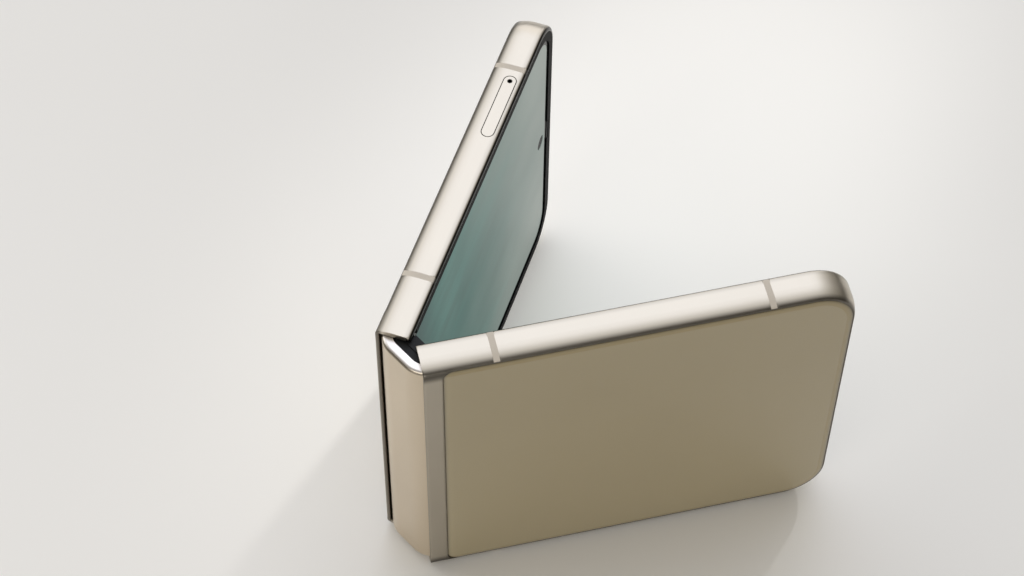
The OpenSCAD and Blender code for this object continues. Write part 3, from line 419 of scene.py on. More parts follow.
class Shader(Nodes):
    """One material's nodes, round a Principled surface. Its distances are in millimetres."""

    def __init__(self, name: str, where: Where) -> None:
        """Starts a material and finds the surface's point in the body's own coordinates.

        Args:
            name: The material's name.
            where: The body that carries the surface.
        """
        self.material = bpy.data.materials.new(name)
        self.material.use_nodes = True
        super().__init__(self.material.node_tree)
        self.surface = self.node("ShaderNodeBsdfPrincipled")
        self.node("ShaderNodeOutputMaterial", {}, {"Surface": self.surface.outputs[0]})
        self.spot = self._place(where)

    def _place(self, where: Where) -> Wire:
        """Works out the surface's point.

        Args:
            where: The body that carries the surface.

        Returns:
            (s, t, w) on a half, or the plain point on the spine.
        """
        spot = self.wire("ShaderNodeTexCoord", output="Object") * (1 / MM)
        if where is Where.SPINE:
            return spot + (0.0, FOLD.mid_y, -FOLD.lift)
        c, n = math.cos(FOLD.turn), math.sin(FOLD.turn)
        s = spot.dot((where.side * c, n, 0)) + (FOLD.axis_s * (1 - c) + FOLD.mid_y * n)
        t = spot.dot((-where.side * n, c, 0)) + (FOLD.axis_t + FOLD.axis_s * n + FOLD.mid_y * c)
        return self.combine(s, t, spot.z - FOLD.lift)

    def past_half(self) -> Wire:
        """Returns the distance from a half's outline, below 0 inside it."""
        return self.outside(self.spot.x, self.spot.z - HALF.middle, HALF.length, HALF.middle, HALF.corner)

    def away(self, s: float, w: float) -> Wire:
        """Returns the distance from an axis that stands on a half at a place."""
        return self.vector_maths("LENGTH", (self.spot - (s, 0.0, w)) * (1.0, 0.0, 1.0), output="Value")

    def soft_normal(self, edge: float) -> Wire:
        """Returns the surface's way with its edges softened over a radius in millimetres."""
        return self.wire("ShaderNodeBevel", {"samples": 6}, {"Radius": edge * MM})

    def relief(self, height: Number, depth: float, normal: Wire | None = None) -> None:
        """Gives the surface its bumps.

        Args:
            height: Height from -1 to 1.
            depth: What a height of 1 stands for, in millimetres.
            normal: The surface's way below the bumps, where it isn't the mesh's own.
        """
        inputs = {"Strength": 1.0, "Distance": depth * MM, "Height": height}
        if normal:
            inputs["Normal"] = normal
        self.set(Normal=self.wire("ShaderNodeBump", {}, inputs))

    def set(self, **values: Any) -> None:
        """Sets or links the surface's sockets, with underscores for the spaces in their names."""
        for key, value in values.items():
            self.feed(self.surface.inputs[key.replace("_", " ")], value)


# ---------- finishes ----------

FRONT_EDGE = (6.42, 6.67)  # heights between which a frame's front edge is painted black, for a black bezel wall that the mesh lacks and for painted shade
IN_SHADE = 0.04            # part of a colour that is left where painted shade is deepest
SHEET = "sheet"            # the map of a bent strip's own length and width


@dataclass(frozen=True)
class Finish:
    """What a surface is made of. Each subclass paints one kind."""

    name: str
    made: ClassVar[dict[tuple[str, Where], bpy.types.Material]] = {}

    def paint(self, shader: Shader) -> None:
        """Paints the surface."""
        raise NotImplementedError

    def material(self, where: Where) -> bpy.types.Material:
        """Makes the finish's material for a body, once.

        Args:
            where: The body that carries the surface.

        Returns:
            The material.
        """
        key = (self.name, where)
        if key not in self.made:
            shader = Shader(f"{self.name}_{where.name.lower()}", where)
            self.paint(shader)
            self.made[key] = shader.material
        return self.made[key]

    def dress(self, piece: bpy.types.Object, where: Where) -> None:
        """Puts the finish on a piece.

        Args:
            piece: The piece.
            where: The body that carries it.
        """
        if piece.material_slots:
            piece.material_slots[0].material = self.material(where)
        else:
            piece.data.materials.append(self.material(where))


@dataclass(frozen=True)
class Seam:
    """A line of painted shade in the gap round a part that sits flush in a frame's upper side, or painted
    shade filling a hole's mouth.
    """

    s: float
    t: float
    length: float
    height: float
    line: float
    filled: bool = False
    side_w: float = 71.2
    side_run: float = 0.3

    def shade(self, shader: Shader) -> Wire:
        """Returns how dark the seam's painted shade makes the surface.

        Args:
            shader: The material to fill.

        Returns:
            The shade, from 0 to 1.
        """
        spot = shader.spot
        half_height = self.height / 2
        off = shader.outside(spot.x - self.s, spot.y - self.t, self.length / 2, half_height, half_height)
        near = off if self.filled else abs(off)
        on_side = spot.z.ramp(self.side_w, self.side_w + self.side_run)
        return (1.0 - near.ramp(self.line / 2, self.line)) * on_side


@dataclass(frozen=True)
class Rim:
    """An edge that is softened and given painted shade, not yet at its sharp height and fully at its soft
    one.
    """

    sharp: float
    soft: float
    radius: float
    # shade is how deep the painted shade goes
    shade: float
    along: Triple = (0.0, 1.0, 0.0)
    fade: tuple[float, float] | None = None

    def share(self, shader: Shader) -> Wire:
        """Returns how far the surface lies in the rim.

        Args:
            shader: The material to fill.

        Returns:
            The share, from 0 to 1.
        """
        height = shader.spot.dot(self.along)
        share = height.ramp(self.sharp, self.soft)
        return share * height.ramp(*self.fade) if self.fade else share


@dataclass(frozen=True)
class SatinMetal(Finish):
    """Blasted and dyed aluminium: a fine even grain, faint clouding and handling marks, with painted shade
    along its rims and seams and on its flat back.
    """

    colour: Colour
    rough: float
    grain: float = 7.0
    depth: float = 0.0012
    edge: float = 0.06
    # the rims, the seams and the shade fields below paint shade into the colour; the rims also soften the
    # edges
    rims: tuple[Rim, ...] = ()
    seams: tuple[Seam, ...] = ()
    seam_shade: float = 0.9
    back_shade: float = 0.0
    side_shade: float = 0.58
    side_band: tuple[float, float] = (-3.6, -1.5)  # from the outline, where the back's painted shade deepens
    top: Colour | None = None                      # paler colour of the upper end at top_w, a painted highlight
    top_w: float = 0.0

    def way(self, shader: Shader) -> Wire:
        """Returns the surface's way with softened edges, wider along each rim.

        Args:
            shader: The material to fill.

        Returns:
            The way.
        """
        way = shader.soft_normal(self.edge)
        for rim in self.rims:
            way = shader.mix(way, shader.soft_normal(rim.radius), rim.share(shader))
        return way

    def painted_shades(self, shader: Shader) -> Iterator[Wire]:
        """Finds the painted shade that darkens the metal: each rim and seam, and the flat back, deepest by
        its sides.

        Args:
            shader: The material to fill.

        Yields:
            One painted shade after another, from 0 to 1.
        """
        height = shader.spot.y
        for rim in self.rims:
            yield rim.share(shader) * (height.ramp(0.02, 0.2) if self.back_shade else 1.0) * rim.shade
        for seam in self.seams:
            yield seam.shade(shader) * self.seam_shade
        if self.back_shade:
            by_side = shader.past_half().ramp(*self.side_band)
            yield (1.0 - height.ramp(0.02, 0.3)) * (by_side * self.side_shade + self.back_shade)

    def paint(self, shader: Shader) -> None:
        """Paints grain, clouding and marks, painted shade along rims, seams and the flat back, and a paler
        upper end as a painted highlight where one is given.

        Args:
            shader: The material to fill.
        """
        spot = shader.spot
        blast = shader.noise(spot, self.grain, 3, 0.6)
        clouds = shader.noise(spot, 0.06, 3, 0.55)
        touched = shader.noise(spot * (0.35, 1.2, 0.5), 0.35, 4, 0.6).ramp(0.1, 0.7)
        tone = clouds * 0.35 + blast * 0.18 + 0.5
        base = shader.mix(tint(self.colour, 0.92), tint(self.colour, 1.06), tone)
        # painted highlight: the upper end turns to the paler top colour
        if self.top:
            base = shader.mix(base, self.top, spot.z.ramp(self.top_w - 0.3, self.top_w - 0.15))
        # painted shade: each shade mixes the colour towards its deep-shade tint
        for shade in self.painted_shades(shader):
            base = shader.mix(base, tint(self.colour, IN_SHADE), shade)
        shader.set(
            Base_Color=base,
            Metallic=1.0,
            Roughness=self.rough + clouds * 0.02 + blast * 0.025 + touched * 0.03,
        )
        grit = blast + shader.noise(spot, self.grain * 2.3, 1) * 0.5
        shader.relief(grit, self.depth, self.way(shader))


@dataclass(frozen=True)
class InkedGlass(Finish):
    """Polished glass over a coat of ink, with fine flakes in the ink, a few hair scratches and painted shade
    on its curved edge.
    """

    ink: Colour
    flakes: float = 0.05
    rough: float = 0.35
    polish: float = 0.03
    curved_in: float = 2.4                      # width of the curve beside the outline
    # the curve's tint makes it darker and yellower, painted shade
    curved_shade_tint: Colour = (0.92, 0.87, 0.69)
    edge_t: tuple[float, float] = (0.04, 0.32)  # heights over which the curve darkens further, painted shade

    def paint(self, shader: Shader) -> None:
        """Paints ink, flakes, scratches and painted shade on the curved edge.

        Args:
            shader: The material to fill.
        """
        spot = shader.spot
        flake = shader.cells(spot, 9.0).ramp(0.1, 0.55)
        clouds = shader.noise(spot, 0.03, 2)
        tone = 0.5 + clouds * 0.3 + (flake - 0.5) * self.flakes * 4
        base = shader.mix(tint(self.ink, 0.94), tint(self.ink, 1.08, 0.004), tone)
        # painted shade: the curve turns darker and yellower, darkest towards the frame
        curved_shade_colour = tuple(part * share for part, share in zip(self.ink, self.curved_shade_tint))
        curved = shader.past_half().ramp(-self.curved_in, 0.3 - self.curved_in)
        base = shader.mix(base, curved_shade_colour, curved)
        base = shader.mix(base, tint(self.ink, 0.35), spot.y.ramp(*self.edge_t))
        scratch = shader.noise(spot * (0.05, 1.0, 2.4), 1.6, 5, 0.75).ramp(0.55, 0.8)
        shader.set(
            Base_Color=base,
            Roughness=self.rough + clouds * 0.03,
            Specular_IOR_Level=0.3,
            Coat_Weight=1.0 - scratch * 0.12,
            Coat_Roughness=self.polish,
            Coat_IOR=1.5,
        )
        shader.relief(shader.noise(spot, 0.11, 2) + scratch * -0.02, 0.0006)


@dataclass(frozen=True)
class Moulded(Finish):
    """Moulded plastic or rubber with a spark-eroded grain."""

    colour: Colour
    rough: float
    grain: float = 4.0
    depth: float = 0.004
    edge: float = 0.0
    shine: float = 0.5
    # dark_front paints the front edge black beside the bezel, partly a bezel wall and partly painted shade
    dark_front: bool = False
    front_tint: float = 0.05

    def paint(self, shader: Shader) -> None:
        """Paints the grain, and paints the front edge of a piece that meets the bezel black, for a black
        bezel wall that the mesh lacks and for painted shade.

        Args:
            shader: The material to fill.
        """
        spot = shader.spot
        grain = shader.noise(spot, self.grain, 3, 0.6)
        clouds = shader.noise(spot, 0.12, 2)
        pale = tint(self.colour, 1.12, 0.002)
        base = shader.mix(tint(self.colour, 0.88), pale, 0.5 + grain * 0.2 + clouds * 0.3)
        # the front edge blackens beside the bezel: a bezel wall and painted shade
        if self.dark_front:
            base = shader.mix(base, tint(self.colour, self.front_tint), spot.y.ramp(*FRONT_EDGE))
        shader.set(
            Base_Color=base,
            Roughness=self.rough + grain * 0.05 + clouds * 0.03,
            Specular_IOR_Level=self.shine,
        )
        shader.relief(grain, self.depth, shader.soft_normal(self.edge) if self.edge else None)


@dataclass(frozen=True)
class GroundSteel(Finish):
    """Steel with the fine lines of grinding or rolling along one way."""

    colour: Colour
    rough: float = 0.28
    along: Triple = (0.08, 1.6, 1.6)
    depth: float = 0.0015

    def paint(self, shader: Shader) -> None:
        """Paints the lines, a thin oil stain and worn spots.

        Args:
            shader: The material to fill.
        """
        spot = shader.spot
        lines = shader.noise(spot * self.along, 6.0, 4, 0.65)
        stain = shader.noise(spot, 0.25, 3).ramp(0.0, 0.8)
        base = shader.mix(self.colour, tint(self.colour, 0.72), stain * 0.5 + lines * 0.12)
        shader.set(Base_Color=base, Metallic=1.0, Roughness=self.rough + lines * 0.07 + stain * 0.08)
        shader.relief(lines, self.depth, shader.soft_normal(0.03))


@dataclass(frozen=True)
class Copper(Finish):
    """Copper with warm tarnish and drawn lines."""

    colour: Colour = (0.62, 0.27, 0.14)

    def paint(self, shader: Shader) -> None:
        """Paints the tarnish.

        Args:
            shader: The material to fill.
        """
        spot = shader.spot
        tarnish = shader.noise(spot, 0.5, 4).ramp(-0.1, 0.6)
        fine = shader.noise(spot, 9.0, 2)
        base = shader.mix(self.colour, (0.36, 0.16, 0.10), tarnish * 0.6)
        shader.set(Base_Color=base, Metallic=1.0, Roughness=0.27 + tarnish * 0.15 + fine * 0.04)
        shader.relief(fine, 0.001)


@dataclass(frozen=True)
class Foil(Finish):
    """The dark wrap of a battery: a film with soft wrinkles and a crimped edge."""

    colour: Colour = (0.05, 0.05, 0.055)

    def paint(self, shader: Shader) -> None:
        """Paints the wrinkles.

        Args:
            shader: The material to fill.
        """
        spot = shader.spot
        wrinkle = abs(shader.noise(spot + shader.noise(spot, 0.15, 2) * 3.0, 0.4, 4, 0.6))
        shader.set(
            Base_Color=shader.mix(self.colour, tint(self.colour, 1.9), wrinkle),
            Roughness=0.3 + wrinkle * 0.25,
            Metallic=0.35,
        )
        shader.relief(wrinkle, 0.05)


@dataclass(frozen=True)
class CircuitBoard(Finish):
    """Solder mask over tracks, with small tinned pads and dark parts in rows."""

    mask: Colour = (0.012, 0.055, 0.035)

    def paint(self, shader: Shader) -> None:
        """Paints tracks, pads and parts.

        Args:
            shader: The material to fill.
        """
        flat = shader.spot * (1.0, 0.0, 1.0)
        step = shader.noise(flat, 0.35, 1) * 2.0
        tracks = ((flat.dot((1.4, 0, 0.5)) + step) * 2.2).sine().ramp(0.3, 0.7)
        pads = 1.0 - shader.cells(flat, 0.9).ramp(0.1, 0.16)
        chips = (1.0 - shader.cells(flat, 0.28).ramp(0.16, 0.2)) * 0.9
        base = shader.mix(self.mask, tint(self.mask, 2.2, 0.01), tracks)
        base = shader.mix(base, (0.02, 0.02, 0.022), chips)
        base = shader.mix(base, (0.72, 0.58, 0.33), pads)
        shader.set(Base_Color=base, Metallic=pads, Roughness=0.35 + chips * 0.2 - pads * 0.1)
        shader.relief(tracks * 0.3 + pads * 0.5 + chips, 0.04)


@dataclass(frozen=True)
class Ferrite(Finish):
    """A sheet of brittle ferrite, broken into fine tiles under its film."""

    colour: Colour = (0.035, 0.035, 0.037)

    def paint(self, shader: Shader) -> None:
        """Paints the tiles.

        Args:
            shader: The material to fill.
        """
        spot = shader.spot
        cracks = 1.0 - shader.cells(spot * (1.0, 0.0, 1.0), 0.45, "DISTANCE_TO_EDGE").ramp(0.0, 0.06)
        dust = shader.noise(spot, 3.0, 3)
        shader.set(
            Base_Color=shader.mix(self.colour, (0.09, 0.09, 0.095), cracks * 0.6 + dust * 0.1),
            Roughness=0.55 + dust * 0.06,
        )
        shader.relief(dust * 0.3 - cracks, 0.01)


@dataclass(frozen=True)
class Lens(Finish):
    """Coated lens glass over a black barrel, in rings about each lens's own axis."""

    centres: tuple[tuple[float, float], ...]
    reach: float = 4.4

    def paint(self, shader: Shader) -> None:
        """Paints the barrel's rings and the coating's tint.

        Args:
            shader: The material to fill.
        """
        spot = shader.spot
        first, *others = (shader.away(*centre) for centre in self.centres)
        nearest = first
        for other in others:
            nearest = shader.maths("MINIMUM", nearest, other)
        part = nearest / self.reach
        rings = (part * 60.0).sine().ramp(0.2, 0.9) * part.ramp(0.5, 0.62) * (1.0 - part.ramp(0.92, 0.98))
        glass = 1.0 - part.ramp(0.42, 0.5)
        iris = 1.0 - part.ramp(0.2, 0.24)
        base = shader.mix((0.003, 0.003, 0.004), (0.10, 0.10, 0.11), rings)
        base = shader.mix(base, (0.016, 0.014, 0.06), glass * 0.9)
        base = shader.mix(base, (0.001, 0.001, 0.002), iris)
        dust = shader.noise(spot, 1.2, 3).ramp(0.5, 0.9)
        shader.set(
            Base_Color=base,
            Roughness=0.25 - glass * 0.18 + dust * 0.03,
            Coat_Weight=1.0 - dust * 0.05,
            Specular_IOR_Level=0.1,
            Coat_Roughness=0.015,
            Coat_IOR=1.45,
            Coat_Tint=(0.86, 0.9, 1.0),
        )


@dataclass(frozen=True)
class Flash(Finish):
    """A pale moulded lens with fine rings, and the yellow of the lamp behind it."""

    centre: tuple[float, float]

    def paint(self, shader: Shader) -> None:
        """Paints the rings and the lamp.

        Args:
            shader: The material to fill.
        """
        away = shader.away(*self.centre)
        rings = (away * 26.0).sine() * 0.5 + 0.5
        lamp = 1.0 - away.ramp(0.45, 0.75)
        base = shader.mix((0.62, 0.6, 0.55), (0.80, 0.66, 0.20), lamp * 0.8)
        shader.set(
            Base_Color=shader.mix(base, (0.42, 0.41, 0.38), rings * 0.35),
            Roughness=0.2 + rings * 0.12,
            Coat_Weight=0.8 + rings * 0.1,
            Coat_Roughness=0.03,
        )
        shader.relief(rings, 0.02)


@dataclass(frozen=True)
class Card(Finish):
    """White card plastic with a gold contact plate cut by thin lines."""

    def paint(self, shader: Shader) -> None:
        """Paints the plate and the card's faint grain.

        Args:
            shader: The material to fill.
        """
        grain = shader.noise(shader.spot, 3.0, 2)
        lines = abs((shader.spot.x * 0.42).fraction() - 0.5).ramp(0.02, 0.05)
        base = shader.mix((0.62, 0.47, 0.2), (0.82, 0.68, 0.36), lines)
        shader.set(Base_Color=base, Metallic=0.6 + grain * 0.1, Roughness=0.32 + grain * 0.05)
        shader.relief(lines * 0.5 + grain * 0.1, 0.01)


class ScreenGlow(Enum):
    """What a screen shows."""

    LIT = 1
    DARK = 0


@dataclass(frozen=True)
class Screen(Finish):
    """Polished film over a screen that shows broad soft bands of sea green and grey, paler towards the far
    end as a painted reflection and darker by the fold as painted shade, or nothing.
    """

    glow: ScreenGlow = ScreenGlow.LIT
    strength: float = 0.5
    border: float = 2.2
    gloss: float = 1.1
    deep_sea: Colour = srgb(8, 104, 94)
    sea: Colour = srgb(62, 152, 140)
    far_reflection_grey: Colour = srgb(196, 206, 197)
    near_shade_green: Colour = srgb(46, 84, 82)
    on_sheet: bool = False

    def paint(self, shader: Shader) -> None:
        """Paints the picture, with painted reflection towards the far end and painted shade by the fold, the
        film's gloss and the faint ripple of a flexible film.

        Args:
            shader: The material to fill.
        """
        if self.on_sheet:
            sheet = shader.wire("ShaderNodeUVMap", {"uv_map": SHEET})
            along, across = sheet.x, sheet.y
        else:
            along, across = shader.spot.x, shader.spot.z
        flat = shader.combine(along, 0.0, across)
        sway = shader.noise(flat, 0.03, 2)
        bands = shader.noise(flat * (0.1, 0.0, 1.0) + sway * 6.0, 0.16, 4, 0.6)
        streaks = shader.noise(flat * (0.05, 0.0, 1.0), 1.3, 3, 0.6)
        glow = shader.noise(flat * (0.6, 0.0, 0.8), 0.05, 2).ramp(-0.5, 0.5)
        length, radius = HALF.length - HALF.film_inset, HALF.corner - HALF.film_inset
        # painted reflection: the picture pales to grey towards the far end; painted shade: it turns darker
        # green by the fold
        far = (along / length).ramp(0.24, 1.0)
        near = (along / length).ramp(0.0, 0.22)
        base = shader.mix(self.deep_sea, self.sea, bands.ramp(-0.5, 0.6) * 0.7 + streaks * 0.2 + 0.1)
        base = shader.mix(base, self.far_reflection_grey, far * 0.8 + glow * 0.15)
        base = shader.mix(self.near_shade_green, base, near * 0.8 + glow * 0.15)
        edge = shader.outside(along, across - HALF.middle, length, HALF.middle - HALF.film_inset, radius)
        base = shader.mix(base, (0.0, 0.0, 0.0), edge.ramp(-self.border - 0.05, -self.border + 0.05))
        ripple = shader.noise(flat * (1.0, 0.0, 0.3), 0.12, 2)
        if self.glow is ScreenGlow.LIT:
            shader.set(Base_Color=(0.01, 0.012, 0.012), Emission_Color=base, Emission_Strength=self.strength)
        else:
            shader.set(Base_Color=shader.mix((0.004, 0.004, 0.005), (0.012, 0.012, 0.014), glow))
        shader.set(
            Roughness=0.3 + ripple * 0.02,
            Specular_IOR_Level=0.0,
            Coat_Weight=1.0,
            Coat_Roughness=0.05,
            Coat_IOR=self.gloss,
        )
        shader.relief(ripple + streaks * 0.15, 0.004)


@dataclass(frozen=True)
class Tabletop(Finish):
    """A pale matte tabletop with a faint uneven tone."""

    tone: Colour = (0.91, 0.89, 0.845)
    warm: Colour = (0.88, 0.845, 0.785)

    def paint(self, shader: Shader) -> None:
        """Paints the tone.

        Args:
            shader: The material to fill.
        """
        spot = shader.spot
        cloud = shader.noise(spot, 0.004, 2)
        fine = shader.noise(spot, 0.8, 3)
        shader.set(
            Base_Color=shader.mix(self.tone, self.warm, cloud * 0.4 + 0.4 + fine * 0.02),
            Roughness=0.5 + fine * 0.02,
            Specular_IOR_Level=0.3,
        )


# painted shade in the gap round the card tray and in the mouth of its eject hole
TRAY_SEAM = Seam(s=56.1, t=4.5, length=15.5, height=2.5, line=0.16)
EJECT_HOLE = Seam(s=62.6, t=4.5, length=0.8, height=0.8, line=0.18, filled=True)
# painted shade along the frame's edges: strong on the back edge, faint on the front edge, and full black at
# the very front edge, for the bezel's black wall and painted shade
SHADED_BACK_RIM = Rim(sharp=1.6, soft=0.5, radius=0.7, shade=0.68)
SHADED_FRONT_RIM = Rim(sharp=5.3, soft=6.6, radius=0.5, shade=0.26)
BEZEL_WALL_AND_SHADE = Rim(*FRONT_EDGE, radius=0.2, shade=1.0)
# painted shade: a dark line on the cover's rounding below its top ledge
SHADED_COVER_RIM = Rim(
    sharp=COVER_TOP - 0.85, soft=COVER_TOP - 0.65, radius=0.1, shade=0.5,
    along=UP, fade=(COVER_TOP - 0.2, COVER_TOP - 0.4),
)

FRAME_METAL = SatinMetal(
    "champagne_metal", (0.60, 0.545, 0.455), 0.31,
    rims=(SHADED_BACK_RIM, SHADED_FRONT_RIM, BEZEL_WALL_AND_SHADE), back_shade=0.25,
)
TRAY_SIDE_METAL = replace(FRAME_METAL, name="tray_side_metal", seams=(TRAY_SEAM,), back_shade=0.02)
TRAY_METAL = replace(FRAME_METAL, name="tray_metal", rims=(), seams=(EJECT_HOLE,), back_shade=0.0)
RING_METAL = SatinMetal("ring_metal", srgb(220, 206, 186), 0.22, grain=9.0, edge=0.04)
# the cover's paler upper end is a painted highlight
COVER_METAL = SatinMetal(
    "cover_metal", (0.665, 0.57, 0.44), 0.34,
    rims=(SHADED_COVER_RIM,), top=(0.80, 0.75, 0.70), top_w=COVER_TOP,
)
CREAM_GLASS = InkedGlass("cream_glass", (0.34, 0.278, 0.156))
BLACK_GLASS = InkedGlass("black_glass", (0.006, 0.006, 0.007), flakes=0.0, rough=0.2, polish=0.015)
# the bands' front ends are painted black like the frame's, for the bezel's black wall and painted shade
BAND_PLASTIC = Moulded("band_plastic", srgb(206, 195, 178), 0.45, edge=0.04, dark_front=True)
BEZEL_RUBBER = Moulded("black_rubber", srgb(9, 9, 10), 0.5, grain=5.0, depth=0.002, shine=0.03)
BLACK_PLASTIC = Moulded("black_plastic", srgb(20, 20, 21), 0.5, shine=0.25)
HINGE_STEEL = GroundSteel("hinge_steel", (0.55, 0.55, 0.54))
THIN_STEEL = GroundSteel("thin_steel", (0.6, 0.6, 0.6), 0.33, along=(1.6, 1.6, 0.06))
CABLE = Copper("flex_copper", (0.55, 0.30, 0.15))
SCREEN = Screen("display_film")
SCREEN_SHEET = replace(SCREEN, name="display_film_sheet", on_sheet=True)
DARK_SCREEN = Screen("cover_screen", ScreenGlow.DARK)

SLOT_FINISHES: dict[str, Finish] = {
    finish.name: finish
    for finish in (
        FRAME_METAL, COVER_METAL, CREAM_GLASS, BLACK_GLASS, BAND_PLASTIC, SCREEN, BEZEL_RUBBER,
        BLACK_PLASTIC, HINGE_STEEL, THIN_STEEL, Foil("battery_foil"), CircuitBoard("board"),
        Copper("copper"), Ferrite("ferrite"), Lens("lens_glass", CAMERAS),
        Flash("flash_plastic", FLASH), Card("card_plastic"),
    )
}
NODE_FINISHES: dict[str, Finish] = {
    "camera_rings": RING_METAL,
    "cover_display": DARK_SCREEN,
    "upper_frame": TRAY_SIDE_METAL,
    "sim_tray": TRAY_METAL,
}


# ---------- meshes ----------


def placed(name: str, data: Any) -> bpy.types.Object:
    """Puts a new mesh, light or camera into the scene."""
    bpy.context.scene.collection.objects.link(made := bpy.data.objects.new(name, data))
    return made


@contextmanager
def edited(mesh: bpy.types.Mesh) -> Iterator[bmesh.types.BMesh]:
    """Opens a mesh, and after the edit turns its faces outward and writes it back.

    Args:
        mesh: The mesh.

    Yields:
        The shape to edit.
    """
    shape = bmesh.new()
    shape.from_mesh(mesh)
    yield shape
    bmesh.ops.recalc_face_normals(shape, faces=shape.faces)
    shape.to_mesh(mesh)
    shape.free()


def smooth(mesh: bpy.types.Mesh, sharp: float = 30.0) -> None:
    """Shades a mesh smooth, but for edges sharper than an angle in degrees."""
    mesh.shade_smooth()
    mesh.set_sharp_from_angle(angle=math.radians(sharp))


def piece_of(
    name: str, points: Sequence[Vector], faces: Sequence[Sequence[int]], sharp: float = 30.0
) -> bpy.types.Object:
    """Turns points and faces into a smooth-shaded piece.

    Args:
        name: The piece's name.
        points: Its points, in metres in the row frame.
        faces: Its faces.
        sharp: Angle between faces, in degrees, from which an edge stays sharp.

    Returns:
        The piece, not yet riding on anything.
    """
    mesh = bpy.data.meshes.new(name)
    mesh.from_pydata([tuple(p) for p in points], [], [tuple(f) for f in faces])
    with edited(mesh):
        pass  # only its faces are turned outward
    smooth(mesh, sharp)
    return placed(name, mesh)


def rounded_outline(
    s0: float, s1: float, w0: float, w1: float, near_r: float, far_r: float, steps: int = 24
) -> list[tuple[float, float]]:
    """Walks once round a plate's outline.

    Args:
        s0: End beside the hinge.
        s1: Far end.
        w0: Lower side.
        w1: Upper side.
        near_r: Radius of the two corners beside the hinge.
        far_r: Radius of the two far corners.
        steps: Parts of each corner.

    Returns:
        The outline's points as (s, w).
    """
    corners = [
        (s1 - far_r, w0 + far_r, far_r, -90),
        (s1 - far_r, w1 - far_r, far_r, 0),
        (s0 + near_r, w1 - near_r, near_r, 90),
        (s0 + near_r, w0 + near_r, near_r, 180),
    ]
    return [
        on_circle(s, w, r, math.radians(start + 90 * k / steps))
        for s, w, r, start in corners
        for k in range(steps + 1)
    ]


def stacked(rings: int, count: int) -> list[tuple[int, ...]]:
    """Joins closed rings of points into a closed skin.

    Args:
        rings: Number of rings.
        count: Points in each ring.

    Returns:
        The faces between neighbouring rings, and one over the first and one over the last ring.
    """
    faces: list[tuple[int, ...]] = []
    for low in range(0, (rings - 1) * count, count):
        for k in range(count):
            after = (k + 1) % count
            faces.append((low + k, low + after, low + count + after, low + count + k))
    last = (rings - 1) * count
    return [*faces, tuple(range(count)), tuple(range(last, last + count))]


class Share(Enum):
    """Which stretch of a back a pane covers."""

    WHOLE = "whole"
    NEAR = "near"
    FAR = "far"


@dataclass
class BackPane:
    """A pane of glass on a half's back, with its edges curved down to the frame."""

    where: Where
    share: Share = Share.WHOLE
    s0: float = 3.7
    near_r: float = 2.1
    thick: float = 0.6
    run: float = 1.9
    drop: float = 0.35
    flat_margin: float = 0.12
    split: float = 49.5
    gap: float = 0.05
    beyond: float = 1.0
    steps: int = 20
    holes: tuple[tuple[float, float, float], ...] = ()

    def rings(self) -> list[tuple[float, float]]:
        """Works out the pane's edge, from the flat of the back to the inner face.

        Returns:
            Pairs of the distance in from the outline and the height from the back.
        """
        bends = [math.pi / 2 * k / self.steps for k in range(self.steps + 1)]
        curve = [(self.run * (1 - math.sin(q)), self.drop * (1 - math.cos(q))) for q in bends]
        return [(self.run + self.flat_margin, 0.0), *curve, (0.0, self.thick)]

    def mesh(self, name: str) -> bpy.types.Object:
        """Builds the pane.

        Args:
            name: The piece's name.

        Returns:
            The piece, with its cut and its holes made.
        """
        rings = [self._ring(inset, height) for inset, height in self.rings()]
        made = piece_of(name, [p for ring in rings for p in ring], stacked(len(rings), len(rings[0])))
        self._split(made)
        for s, w, r in self.holes:
            self._drill(made, s, w, r)
        smooth(made.data)
        return made

    def _ring(self, inset: float, height: float) -> list[Vector]:
        """Walks once round the pane.

        Args:
            inset: Distance in from its outline.
            height: Height from the back.

        Returns:
            The points, in metres in the row frame.
        """
        edge = HALF.glass_inset + inset
        outline = rounded_outline(
            self.s0 + inset, HALF.length - edge, edge, HALF.width - edge,
            self.near_r - inset, HALF.corner - edge,
        )
        return [FOLD.point(self.where, s, height, w) for s, w in outline]

    def _split(self, made: bpy.types.Object) -> None:
        """Keeps only the pane's own stretch of the back.

        Args:
            made: The pane.
        """
        if self.share is Share.WHOLE:
            return
        keep_far = self.share is Share.FAR
        at = self.split if keep_far else self.split - self.gap
        here = FOLD.point(self.where, at, 0, 0)
        way = FOLD.point(self.where, at + 1, 0, 0) - here
        with edited(made.data) as shape:
            cut = bmesh.ops.bisect_plane(
                shape, geom=[*shape.verts, *shape.edges, *shape.faces], plane_co=here, plane_no=way,
                clear_inner=keep_far, clear_outer=not keep_far,
            )
            rim = [edge for edge in cut["geom_cut"] if isinstance(edge, bmesh.types.BMEdge)]
            bmesh.ops.contextual_create(shape, geom=rim)

    def _drill(self, made: bpy.types.Object, s: float, w: float, r: float, sides: int = 96) -> None:
        """Cuts a round hole through the pane.

        Args:
            made: The pane.
            s: Distance of the hole's middle from the fold line.
            w: Its place along the fold line.
            r: Its radius.
            sides: Sides of its round.
        """
        ends = (-self.beyond, self.thick + self.beyond)
        edge = [on_circle(s, w, r, angle) for angle in full_turn(sides)]
        points = [FOLD.point(self.where, x, t, z) for t in ends for x, z in edge]
        cutter = piece_of("cutter", points, stacked(2, sides))
        tool = made.modifiers.new("hole", "BOOLEAN")
        tool.object, tool.operation, tool.solver = cutter, "DIFFERENCE", "EXACT"
        view = bpy.context.evaluated_depsgraph_get()
        done = bpy.data.meshes.new_from_object(made.evaluated_get(view))
        made.modifiers.clear()
        made.data = done
        bpy.data.objects.remove(cutter)


